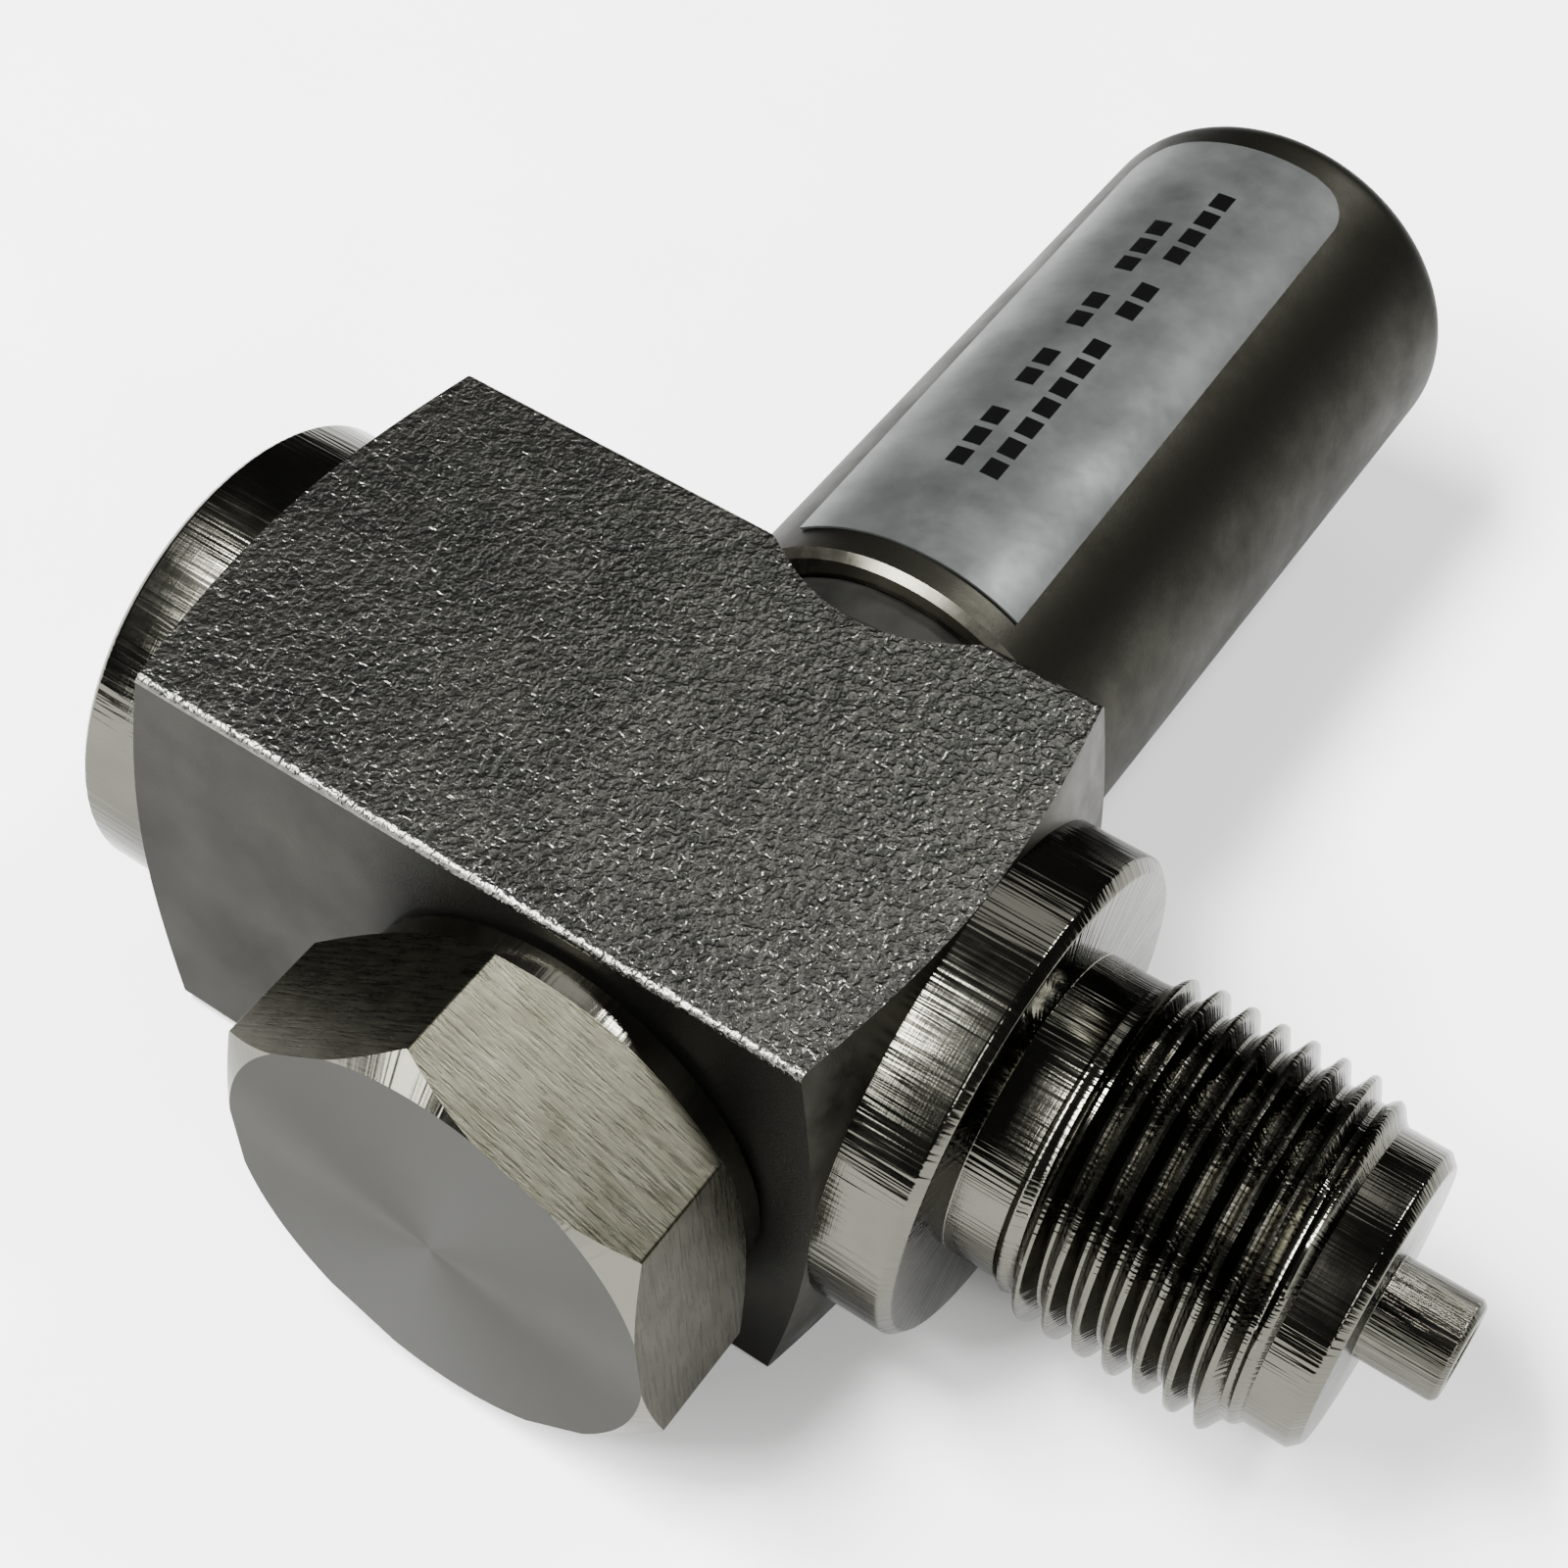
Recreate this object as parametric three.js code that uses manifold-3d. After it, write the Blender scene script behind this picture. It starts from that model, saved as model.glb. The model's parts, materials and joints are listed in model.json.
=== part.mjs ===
// Inline pressure relief valve: a square-bar body with a G1/2 stud and a female
// G1/2 port on its main axis (X), and a spring-loaded poppet on a cross axis (Y).
// Millimetres, +Z up. The origin is on the body's underside, below the point
// where the two axes cross.

import * as THREE from "three";
import Module from "manifold-3d";
import { mergeVertices } from "three/addons/utils/BufferGeometryUtils.js";

const wasm = await Module();
wasm.setup();

// ---------------------------------------------------------------- resolution
const FINE = 48; // sides of the large turned surfaces
const THREAD_SIDES = 36; // sides of the stud's thread
const MEDIUM = 32; // sides of the middle-sized turned pieces
const COARSE = 20; // sides of the small turned pieces
const RING_SIDES = 6; // sides of a round section, such as a seal ring's

// ---------------------------------------------------------------- clearances
const FACE_GAP = 0.05; // between two faces that bear on each other
const FIT_GAP = 0.1; // radial gap of a fixed or sliding fit
const SEAL_GAP = 0.05; // around a seal ring in its groove
const OVERCUT = 1; // how far a cutter runs past the face it opens
const OVERLAP = 1; // how far two joined solids of one piece run into each other

// ------------------------------------------------- body, along the main axis
const BAR_SIDE = 30; // square bar that the body is turned from
const BLOCK_LEFT = -28.9; // where the bar's corners start, left of the cross axis
const BLOCK_RIGHT = 14.45; // and where they end, right of it
const END_CONE_ANGLE = 15; // degrees, of the turned shoulders at both ends
const BOSS_RADIUS = 14.95;
const BOSS_LEFT = -35.3; // sealing face of the female port
const BOSS_CHAMFER = 0.5;
const COLLAR_RADIUS = 14.95;
const COLLAR_RIGHT = 21; // sealing face of the stud
const COLLAR_CHAMFER = 0.6;
const NECK_RADIUS = 9.25;
const NECK_END = 24.1;
const THREAD_END = 38.9;
const NOSE_RADIUS = 8.87;
const NOSE_END = 42;
const NOSE_CHAMFER = 0.6;
const SPIGOT_RADIUS = 3;
const SPIGOT_END = 46.7;
const SPIGOT_CHAMFER = 0.3;

// ------------------------------------------------------------ G1/2 thread
const THREAD_MAJOR_RADIUS = 10.4775;
const THREAD_MINOR_RADIUS = 9.3155;
const THREAD_PITCH = 1.814;
const THREAD_CREST = 0.3; // width of the crest along the axis
const THREAD_ROOT = 0.3; // width of the root along the axis

// ------------------------------------------------------------ flow passages
const INLET_BORE_RADIUS = 1.75;
const INLET_BORE_END = 14.6; // how far in from the stud the bore stops
const CROSS_DRILL_RADIUS = 1.5;
const CROSS_DRILL_ANGLE = 40; // degrees from the valve axis
const PORT_FLOOR = -19.4; // bottom of the female port
const PORT_CHAMFER = 0.9;
const OUTLET_DRILL_RADIUS = 3;

// ------------------------------------ body bores, along the valve axis (Y)
const PLUG_BORE_RADIUS = 10.5;
const PLUG_BORE_FLOOR = -6;
const SEAT_BORE_RADIUS = 6.9;
const SEAT_SHOULDER_Y = -2;
const SEAT_SHOULDER_RADIUS = 5.6;
const OUTLET_CHAMBER_START = -1;
const OUTLET_CHAMBER_RADIUS = 9;
const HOUSING_BORE_RADIUS = 10.6;
const HOUSING_BORE_FLOOR = 5.6;
const RECESS_FLOOR_Y = 11.8;
const RECESS_FLOOR_RADIUS = 14.9;
const RECESS_MOUTH_RADIUS = 16.7;

// ----------------------------------------------------------------- hex plug
const PLUG_ACROSS_FLATS = 27;
const PLUG_TURN = 7; // degrees that a corner stands past vertical
const PLUG_FRONT_Y = -26.7;
const PLUG_FACE_RADIUS = 13.7;
const PLUG_FRONT_CHAMFER = 36; // degrees from the front face
const PLUG_REAR_CHAMFER = 30;
const PLUG_FLANGE_LIP = 0.8; // flange left outside the seal ring
const PLUG_FLANGE_FRONT = 1.6; // flange thickness, up to the rear chamfer
const PLUG_FLANGE_GAP = 0.35; // from the flange to the body's face
const PLUG_SHANK_LENGTH = 7;
const PLUG_SHANK_CHAMFER = 1;
const PLUG_UNDERCUT_DEPTH = 1; // from the bore down to the undercut
const PLUG_UNDERCUT_LENGTH = 2.2;
const PLUG_HOLLOW_RADIUS = 6.5;
const PLUG_HOLLOW_DEPTH = 11;
const PLUG_SEAL_LAND = 0.25; // from the bore to the seal ring
const PLUG_SEAL_WIDTH = 1.75;
const PLUG_SEAL_DEPTH = 1;

// -------------------------------------------------------------- seat insert
const SEAT_ORIFICE_RADIUS = 2.5;
const SEAT_LIP_OUTER = 3.5;
const SEAT_LIP_TOP = 3.1;
const SEAT_LIP_HEIGHT = 0.6;
const SEAT_GROOVE_RADIUS = 5.3;
const SEAT_GROOVE_CENTRE = -4.1;
const SEAT_RING_SECTION = 0.7; // radius of the seal ring's round section
const SEAT_SLOT_WIDTH = 1.4;
const SEAT_SLOT_DEPTH = 1.1;

// ------------------------------------------------------------------- poppet
const DISC_RADIUS = 4;
const DISC_THICKNESS = 1.7;
const DISC_STANDOUT = 0.3; // how far the seal disc stands out of its holder
const HOLDER_RADIUS = 5;
const HOLDER_LENGTH = 3.6;
const DISC_SCREW_HEAD_RADIUS = 1.9;
const DISC_SCREW_HEAD_LENGTH = 0.9;
const DISC_SCREW_SHANK_RADIUS = 1;
const DISC_SCREW_LENGTH = 3.6;
const STEM_RADIUS = 2.3;
const STEM_COLLAR_RADIUS = 3.4;
const STEM_COLLAR_LENGTH = 2;
const STEM_TOP_STANDOUT = 1.6; // stem above its circlip
const CLIP_GROOVE_DEPTH = 0.5;
const CLIP_THICKNESS = 0.8;
const STEM_CLIP_RADIUS = 3.8;
const CLIP_OPENING = 60; // degrees left open in each circlip

// ---------------------------------------------------------------- stem guide
const GUIDE_BORE_RADIUS = 8.4; // bore in the housing that holds the guide
const GUIDE_START = 6.9;
const GUIDE_END = 11.4;
const BUSH_OUTER_RADIUS = 3.4;
const BUSH_LENGTH = 2.4;
const STEM_RING_SECTION = 0.65;
const GUIDE_LIP = 0.5; // wall that closes the stem ring's groove
const GUIDE_CLIP_RADIUS = 8.9;
const GUIDE_CLIP_INNER = 7;

// ------------------------------------------------------------------- spring
const COLLAR_Y = 12.4; // underside of the stem's collar, at rest
const SPRING_SEAT_RADIUS = 7.5;
const SPRING_SEAT_THICKNESS = 2;
const SPRING_PILOT_RADIUS = 4.5;
const SPRING_PILOT_LENGTH = 2.5;
const SPRING_MEAN_RADIUS = 6.1;
const SPRING_WIRE_RADIUS = 1.2;
const SPRING_LENGTH = 32;
const SPRING_ACTIVE_TURNS = 6.5;
const SPRING_CLOSED_TURNS = 1; // at each end
const SPRING_STEPS_PER_TURN = 12;

// ---------------------------------------------------------------- adjustment
const BALL_RADIUS = 2.4;
const BALL_POCKET = 1.5; // how deep the ball sits in each of its pockets
const ADJUSTER_RADIUS = 4.9;
const ADJUSTER_PITCH = 1.5;
const ADJUSTER_LENGTH = 11;
const ADJUSTER_SOCKET_FLATS = 4;
const ADJUSTER_SOCKET_DEPTH = 3;
const ADJUSTER_THREAD_DEPTH = 0.8;
const LOCK_NUT_FLATS = 15;
const LOCK_NUT_THICKNESS = 3.2;

// ------------------------------------------------------------ spring housing
const HOUSING_FLANGE_RADIUS = 12.3;
const HOUSING_FLANGE_TOP = 17.6;
const HOUSING_NECK_RADIUS = 11.3;
const HOUSING_NECK_START = 14.2;
const HOUSING_THREAD_RADIUS = 11.1;
const HOUSING_THREAD_TOP = 31;
const HOUSING_TUBE_RADIUS = 10.3;
const HOUSING_TAPER = 1; // length of the slopes between its diameters
const HOUSING_CHAMBER_RADIUS = 7.8;
const HOUSING_TOP_THICKNESS = 4;
const HOUSING_BALL_ROOM = 3.4; // chamber left above the upper spring seat
const FACE_RING_RADIUS = 11.45; // centre of the face seal's section
const FACE_RING_SECTION = 0.6;
const CAP_RING_Y = 28.6;
const CAP_RING_SECTION = 0.6;

// ---------------------------------------------------------------- bonnet cap
const CAP_RADIUS = 13;
const CAP_BORE_RADIUS = 11.3;
const CAP_START = 17.9;
const CAP_HEADROOM = 3.25; // from the adjusting screw to the cap's end wall
const CAP_END_THICKNESS = 2;
const CAP_ROUNDING = 2.2;
const CAP_LEAD_CHAMFER = 0.5;
const CAP_ROUNDING_STEPS = 8;

// --------------------------------------------------------------------- label
const LABEL_SETBACK = 2.3; // from the cap's mouth
const LABEL_LENGTH = 44.3;
const LABEL_FROM = 61; // degrees round the cap, from +X towards +Z
const LABEL_TO = 130;
const LABEL_SKEW = 4.8; // degrees it drifts round the cap over its length
const LABEL_THICKNESS = 0.15;
const LABEL_CORNER = 3;
const LABEL_STEPS = 14;
const LABEL_ROWS = 4;
const LABEL_CORNER_STEPS = 5;

// ----------------------------------------------------------------- materials
const steel = (colour, roughness) =>
  new THREE.MeshStandardMaterial({ color: colour, roughness, metalness: 1 });
const soft = (colour, roughness) =>
  new THREE.MeshStandardMaterial({ color: colour, roughness, metalness: 0 });

const BODY_STEEL = steel(0x6d6c66, 0.5);
const PLUG_STEEL = steel(0x8a8980, 0.35);
const CAP_STEEL = steel(0x5e5d55, 0.4);
const TURNED_STEEL = steel(0x9a9a92, 0.3);
const SPRING_STEEL = steel(0x55565a, 0.35);
const EPDM = soft(0x161616, 0.8);
const PTFE = soft(0xe6e4dc, 0.5);
const LABEL_FILM = soft(0xa9adaa, 0.5);

// ------------------------------------------------------------ solid geometry
const radians = (degrees) => (degrees * Math.PI) / 180;
const point = (x, y) => new THREE.Vector2(x, y);

// Six times the signed volume: positive where the faces point out.
function signedVolume(positions, indices) {
  let sum = 0;
  const a = new THREE.Vector3();
  const b = new THREE.Vector3();
  const c = new THREE.Vector3();
  for (let i = 0; i < indices.length; i += 3) {
    a.fromArray(positions, 3 * indices[i]);
    b.fromArray(positions, 3 * indices[i + 1]);
    c.fromArray(positions, 3 * indices[i + 2]);
    sum += a.dot(b.cross(c));
  }
  return sum;
}

// A geometry as a solid: shared vertices merged, faces with no area left out
// and all faces turned outward.
function toSolid(geometry) {
  const bare = new THREE.BufferGeometry();
  bare.setAttribute("position", geometry.getAttribute("position"));
  bare.setIndex(geometry.getIndex());
  const merged = mergeVertices(bare, 1e-4);
  const positions = merged.getAttribute("position").array;
  const source = merged.getIndex().array;
  const kept = [];
  for (let i = 0; i < source.length; i += 3) {
    const [a, b, c] = [source[i], source[i + 1], source[i + 2]];
    if (a !== b && b !== c && c !== a) {
      kept.push(a, b, c);
    }
  }
  if (signedVolume(positions, kept) < 0) {
    kept.reverse();
  }
  const mesh = new wasm.Mesh({
    numProp: 3,
    vertProperties: new Float32Array(positions),
    triVerts: new Uint32Array(kept),
  });
  return new wasm.Manifold(mesh);
}

function toMesh(name, solid, material) {
  const { vertProperties, triVerts } = solid.getMesh();
  const geometry = new THREE.BufferGeometry();
  geometry.setAttribute("position", new THREE.BufferAttribute(vertProperties, 3));
  geometry.setIndex(new THREE.BufferAttribute(triVerts, 1));
  geometry.computeVertexNormals();
  const mesh = new THREE.Mesh(geometry, material);
  mesh.name = name;
  return mesh;
}

// A turned solid round the valve axis (Y). Each pair is a radius and a Y.
function turned(pairs, sides) {
  const profile = pairs.map(([radius, y]) => point(radius, y));
  profile.push(profile[0].clone());
  return toSolid(new THREE.LatheGeometry(profile, sides));
}

// The same round the main axis (X). Each pair is a radius and an X.
function turnedOnX(pairs, sides) {
  const profile = pairs.map(([radius, x]) => point(radius, x));
  profile.push(profile[0].clone());
  const geometry = new THREE.LatheGeometry(profile, sides);
  geometry.rotateZ(-Math.PI / 2);
  return toSolid(geometry);
}

// A hollow or solid cylinder round the valve axis.
function tube(inner, outer, from, to, sides) {
  return turned([[inner, from], [outer, from], [outer, to], [inner, to]], sides);
}

// A ring of round section round the valve axis.
function ring(radius, section, y, sides) {
  const geometry = new THREE.TorusGeometry(radius, section, RING_SIDES, sides);
  geometry.rotateX(Math.PI / 2);
  geometry.translate(0, y, 0);
  return toSolid(geometry);
}

// A hexagonal prism along the valve axis, one corner straight up.
function hexPrism(acrossFlats, from, to) {
  const cornerRadius = acrossFlats / 2 / Math.cos(Math.PI / 6);
  const geometry = new THREE.CylinderGeometry(cornerRadius, cornerRadius, to - from, 6);
  geometry.translate(0, (from + to) / 2, 0);
  return toSolid(geometry);
}

// A rod with a helical thread round Y, from 0 to length, fading out at both ends.
function threadedRod(length, minor, major, pitch, crest, root, sides) {
  const flank = (pitch - crest - root) / 2;
  const rows = [0, root, root + flank, root + flank + crest];
  const turns = Math.ceil(length / pitch);
  const profile = [point(0, 0)];
  const heights = [];
  for (let turn = -1; turn < turns; turn += 1) {
    for (const [row, offset] of rows.entries()) {
      profile.push(point(minor, turn * pitch + offset));
      heights.push(row >= 2 ? major - minor : 0);
    }
  }
  profile.push(point(0, length));
  const geometry = new THREE.LatheGeometry(profile, sides);
  const position = geometry.getAttribute("position");
  const perSide = profile.length;
  for (let side = 0; side <= sides; side += 1) {
    const around = (side / sides) * 2 * Math.PI;
    for (let i = 1; i < perSide - 1; i += 1) {
      const along = profile[i].y + (pitch * side) / sides;
      const y = Math.min(Math.max(along, 0), length);
      const fade = Math.min(1, y / pitch, (length - y) / pitch);
      const radius = minor + heights[i - 1] * fade;
      const at = side * perSide + i;
      position.setXYZ(at, radius * Math.sin(around), y, radius * Math.cos(around));
    }
  }
  return toSolid(geometry);
}

// ----------------------------------------------------------------------- body
const HALF_BAR = BAR_SIDE / 2;
const CORNER_RADIUS = HALF_BAR * Math.SQRT2;

// How far a turned end shoulder runs along X between two radii.
function coneRun(fromRadius, toRadius) {
  return (toRadius - fromRadius) * Math.tan(radians(END_CONE_ANGLE));
}

// The square bar, turned down at both ends: boss, shoulders, collar and stud.
function turnedBar() {
  const bar = new THREE.BoxGeometry(SPIGOT_END - BOSS_LEFT + 2, BAR_SIDE, BAR_SIDE);
  bar.translate((SPIGOT_END + BOSS_LEFT) / 2, 0, 0);
  const beyond = CORNER_RADIUS + OVERCUT;
  const envelope = turnedOnX(
    [
      [0, BOSS_LEFT],
      [BOSS_RADIUS - BOSS_CHAMFER, BOSS_LEFT],
      [BOSS_RADIUS, BOSS_LEFT + BOSS_CHAMFER],
      [BOSS_RADIUS, BLOCK_LEFT - coneRun(BOSS_RADIUS, CORNER_RADIUS)],
      [beyond, BLOCK_LEFT + coneRun(CORNER_RADIUS, beyond)],
      [beyond, BLOCK_RIGHT - coneRun(CORNER_RADIUS, beyond)],
      [COLLAR_RADIUS, BLOCK_RIGHT + coneRun(COLLAR_RADIUS, CORNER_RADIUS)],
      [COLLAR_RADIUS, COLLAR_RIGHT - COLLAR_CHAMFER],
      [COLLAR_RADIUS - COLLAR_CHAMFER, COLLAR_RIGHT],
      [NECK_RADIUS, COLLAR_RIGHT],
      [NECK_RADIUS, NECK_END + THREAD_PITCH],
      [NOSE_RADIUS, NECK_END + THREAD_PITCH],
      [NOSE_RADIUS, NOSE_END - NOSE_CHAMFER],
      [NOSE_RADIUS - NOSE_CHAMFER, NOSE_END],
      [SPIGOT_RADIUS, NOSE_END],
      [SPIGOT_RADIUS, SPIGOT_END - SPIGOT_CHAMFER],
      [SPIGOT_RADIUS - SPIGOT_CHAMFER, SPIGOT_END],
      [0, SPIGOT_END],
    ],
    FINE,
  );
  return toSolid(bar).intersect(envelope);
}

function studThread() {
  const rod = threadedRod(
    THREAD_END - NECK_END,
    THREAD_MINOR_RADIUS,
    THREAD_MAJOR_RADIUS,
    THREAD_PITCH,
    THREAD_CREST,
    THREAD_ROOT,
    THREAD_SIDES,
  );
  return rod.rotate([0, 0, -90]).translate([NECK_END, 0, 0]);
}

// Everything that is bored out from the two ends of the main axis.
function mainAxisBores() {
  const port = turnedOnX(
    [
      [0, BOSS_LEFT - OVERCUT],
      [THREAD_MINOR_RADIUS + PORT_CHAMFER + OVERCUT, BOSS_LEFT - OVERCUT],
      [THREAD_MINOR_RADIUS, BOSS_LEFT + PORT_CHAMFER],
      [THREAD_MINOR_RADIUS, PORT_FLOOR],
      [0, PORT_FLOOR],
    ],
    FINE,
  );
  const inlet = turnedOnX(
    [
      [0, INLET_BORE_END],
      [INLET_BORE_RADIUS, INLET_BORE_END],
      [INLET_BORE_RADIUS, SPIGOT_END + OVERCUT],
      [0, SPIGOT_END + OVERCUT],
    ],
    COARSE,
  );
  return port.add(inlet);
}

// The slanted drilling from the plug's bore into the inlet bore.
function crossDrilling() {
  const reach = INLET_BORE_END + INLET_BORE_RADIUS;
  const drop = reach / Math.tan(radians(CROSS_DRILL_ANGLE));
  const length = Math.hypot(reach, drop);
  const drill = new THREE.CylinderGeometry(
    CROSS_DRILL_RADIUS,
    CROSS_DRILL_RADIUS,
    length,
    COARSE,
  );
  drill.translate(0, -length / 2, 0);
  drill.rotateZ(-radians(CROSS_DRILL_ANGLE));
  drill.translate(reach, 0, 0);
  const beyondFloor = new THREE.BoxGeometry(4 * reach, -PLUG_BORE_FLOOR + 2, BAR_SIDE);
  beyondFloor.translate(reach, (PLUG_BORE_FLOOR + 2) / 2, 0);
  return toSolid(drill).intersect(toSolid(beyondFloor));
}

// The drilling from the outlet chamber into the floor of the female port.
function outletDrilling() {
  const from = PORT_FLOOR - OVERCUT;
  const to = -SEAT_BORE_RADIUS;
  const y = (OUTLET_CHAMBER_START + HOUSING_BORE_FLOOR) / 2;
  const drill = new THREE.CylinderGeometry(
    OUTLET_DRILL_RADIUS,
    OUTLET_DRILL_RADIUS,
    to - from,
    COARSE,
  );
  drill.rotateZ(Math.PI / 2);
  drill.translate((from + to) / 2, y, 0);
  return toSolid(drill);
}

// The stepped bore that the plug, the seat and the spring housing fit into.
function valveAxisBore() {
  return turned(
    [
      [0, -HALF_BAR - OVERCUT],
      [PLUG_BORE_RADIUS, -HALF_BAR - OVERCUT],
      [PLUG_BORE_RADIUS, PLUG_BORE_FLOOR],
      [SEAT_BORE_RADIUS, PLUG_BORE_FLOOR],
      [SEAT_BORE_RADIUS, SEAT_SHOULDER_Y],
      [SEAT_SHOULDER_RADIUS, SEAT_SHOULDER_Y],
      [SEAT_SHOULDER_RADIUS, OUTLET_CHAMBER_START],
      [OUTLET_CHAMBER_RADIUS, OUTLET_CHAMBER_START],
      [OUTLET_CHAMBER_RADIUS, HOUSING_BORE_FLOOR],
      [HOUSING_BORE_RADIUS, HOUSING_BORE_FLOOR],
      [HOUSING_BORE_RADIUS, RECESS_FLOOR_Y],
      [RECESS_FLOOR_RADIUS, RECESS_FLOOR_Y],
      [RECESS_MOUTH_RADIUS, HALF_BAR],
      [RECESS_MOUTH_RADIUS, HALF_BAR + OVERCUT],
      [0, HALF_BAR + OVERCUT],
    ],
    FINE,
  );
}

function body() {
  return turnedBar()
    .add(studThread())
    .subtract(mainAxisBores())
    .subtract(valveAxisBore())
    .subtract(crossDrilling())
    .subtract(outletDrilling());
}

// ------------------------------------------------------------------- hex plug
const PLUG_FLANGE_REAR = -HALF_BAR - PLUG_FLANGE_GAP;
const PLUG_UNDERCUT_RADIUS = PLUG_BORE_RADIUS - PLUG_UNDERCUT_DEPTH;
const PLUG_SEAL_INNER = PLUG_BORE_RADIUS + PLUG_SEAL_LAND;
const PLUG_SEAL_OUTER = PLUG_SEAL_INNER + PLUG_SEAL_WIDTH;
const PLUG_FLANGE_RADIUS = PLUG_SEAL_OUTER + PLUG_FLANGE_LIP;
const PLUG_HEX_REAR = PLUG_FLANGE_REAR - PLUG_FLANGE_FRONT;

function plugHead() {
  const corner = PLUG_ACROSS_FLATS / Math.sqrt(3) + OVERCUT;
  const front = (corner - PLUG_FACE_RADIUS) * Math.tan(radians(PLUG_FRONT_CHAMFER));
  const rear = (corner - PLUG_FLANGE_RADIUS) * Math.tan(radians(PLUG_REAR_CHAMFER));
  const envelope = turned(
    [
      [0, PLUG_FRONT_Y],
      [PLUG_FACE_RADIUS, PLUG_FRONT_Y],
      [corner, PLUG_FRONT_Y + front],
      [corner, PLUG_HEX_REAR - rear],
      [PLUG_FLANGE_RADIUS, PLUG_HEX_REAR],
      [0, PLUG_HEX_REAR],
    ],
    FINE,
  );
  const prism = hexPrism(PLUG_ACROSS_FLATS, PLUG_FRONT_Y - OVERCUT, PLUG_HEX_REAR + OVERCUT);
  return prism.intersect(envelope).rotate([0, -PLUG_TURN, 0]);
}

function plugFlangeAndShank() {
  const shankRadius = PLUG_BORE_RADIUS - FIT_GAP;
  const shankEnd = PLUG_FLANGE_REAR + PLUG_SHANK_LENGTH;
  const sealFloor = PLUG_FLANGE_REAR - PLUG_SEAL_DEPTH;
  return turned(
    [
      [0, PLUG_HEX_REAR - OVERLAP],
      [PLUG_FLANGE_RADIUS - OVERLAP, PLUG_HEX_REAR - OVERLAP],
      [PLUG_FLANGE_RADIUS - OVERLAP, PLUG_HEX_REAR],
      [PLUG_FLANGE_RADIUS, PLUG_HEX_REAR],
      [PLUG_FLANGE_RADIUS, PLUG_FLANGE_REAR],
      [PLUG_SEAL_OUTER + SEAL_GAP, PLUG_FLANGE_REAR],
      [PLUG_SEAL_OUTER + SEAL_GAP, sealFloor],
      [PLUG_UNDERCUT_RADIUS, sealFloor],
      [PLUG_UNDERCUT_RADIUS, PLUG_FLANGE_REAR + PLUG_UNDERCUT_LENGTH],
      [shankRadius, PLUG_FLANGE_REAR + PLUG_UNDERCUT_LENGTH + FIT_GAP],
      [shankRadius, shankEnd - PLUG_SHANK_CHAMFER],
      [shankRadius - PLUG_SHANK_CHAMFER, shankEnd],
      [0, shankEnd],
    ],
    FINE,
  );
}

function hexPlug() {
  const shankEnd = PLUG_FLANGE_REAR + PLUG_SHANK_LENGTH;
  const hollow = turned(
    [
      [0, shankEnd - PLUG_HOLLOW_DEPTH],
      [PLUG_HOLLOW_RADIUS, shankEnd - PLUG_HOLLOW_DEPTH],
      [PLUG_HOLLOW_RADIUS, shankEnd + OVERCUT],
      [0, shankEnd + OVERCUT],
    ],
    MEDIUM,
  );
  return plugHead().add(plugFlangeAndShank()).subtract(hollow);
}

function plugSealRing() {
  return tube(
    PLUG_SEAL_INNER,
    PLUG_SEAL_OUTER,
    PLUG_FLANGE_REAR - PLUG_SEAL_DEPTH + FACE_GAP,
    -HALF_BAR - FACE_GAP,
    FINE,
  );
}

// ---------------------------------------------------------------- seat insert
const SEAT_RADIUS = SEAT_BORE_RADIUS - FIT_GAP;
const SEAT_GROOVE_HALF = SEAT_RING_SECTION + SEAL_GAP * 4;
const SEAT_TOP = OUTLET_CHAMBER_START;
const SEAT_LIP_Y = SEAT_TOP + SEAT_LIP_HEIGHT;

function seatInsert() {
  const shoulder = SEAT_SHOULDER_Y - FACE_GAP;
  const blank = turned(
    [
      [SEAT_ORIFICE_RADIUS, PLUG_BORE_FLOOR],
      [SEAT_RADIUS, PLUG_BORE_FLOOR],
      [SEAT_RADIUS, SEAT_GROOVE_CENTRE - SEAT_GROOVE_HALF],
      [SEAT_GROOVE_RADIUS, SEAT_GROOVE_CENTRE - SEAT_GROOVE_HALF],
      [SEAT_GROOVE_RADIUS, SEAT_GROOVE_CENTRE + SEAT_GROOVE_HALF],
      [SEAT_RADIUS, SEAT_GROOVE_CENTRE + SEAT_GROOVE_HALF],
      [SEAT_RADIUS, shoulder],
      [SEAT_SHOULDER_RADIUS - FIT_GAP, shoulder],
      [SEAT_SHOULDER_RADIUS - FIT_GAP, SEAT_TOP],
      [SEAT_LIP_OUTER, SEAT_TOP],
      [SEAT_LIP_TOP, SEAT_LIP_Y],
      [SEAT_ORIFICE_RADIUS, SEAT_LIP_Y],
    ],
    MEDIUM,
  );
  const slot = new THREE.BoxGeometry(4 * SEAT_RADIUS, 2 * SEAT_SLOT_DEPTH, SEAT_SLOT_WIDTH);
  slot.translate(0, PLUG_BORE_FLOOR, 0);
  return blank.subtract(toSolid(slot));
}

function seatRing() {
  const radius = (SEAT_GROOVE_RADIUS + SEAT_BORE_RADIUS) / 2;
  return ring(radius, SEAT_RING_SECTION, SEAT_GROOVE_CENTRE, MEDIUM);
}

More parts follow.
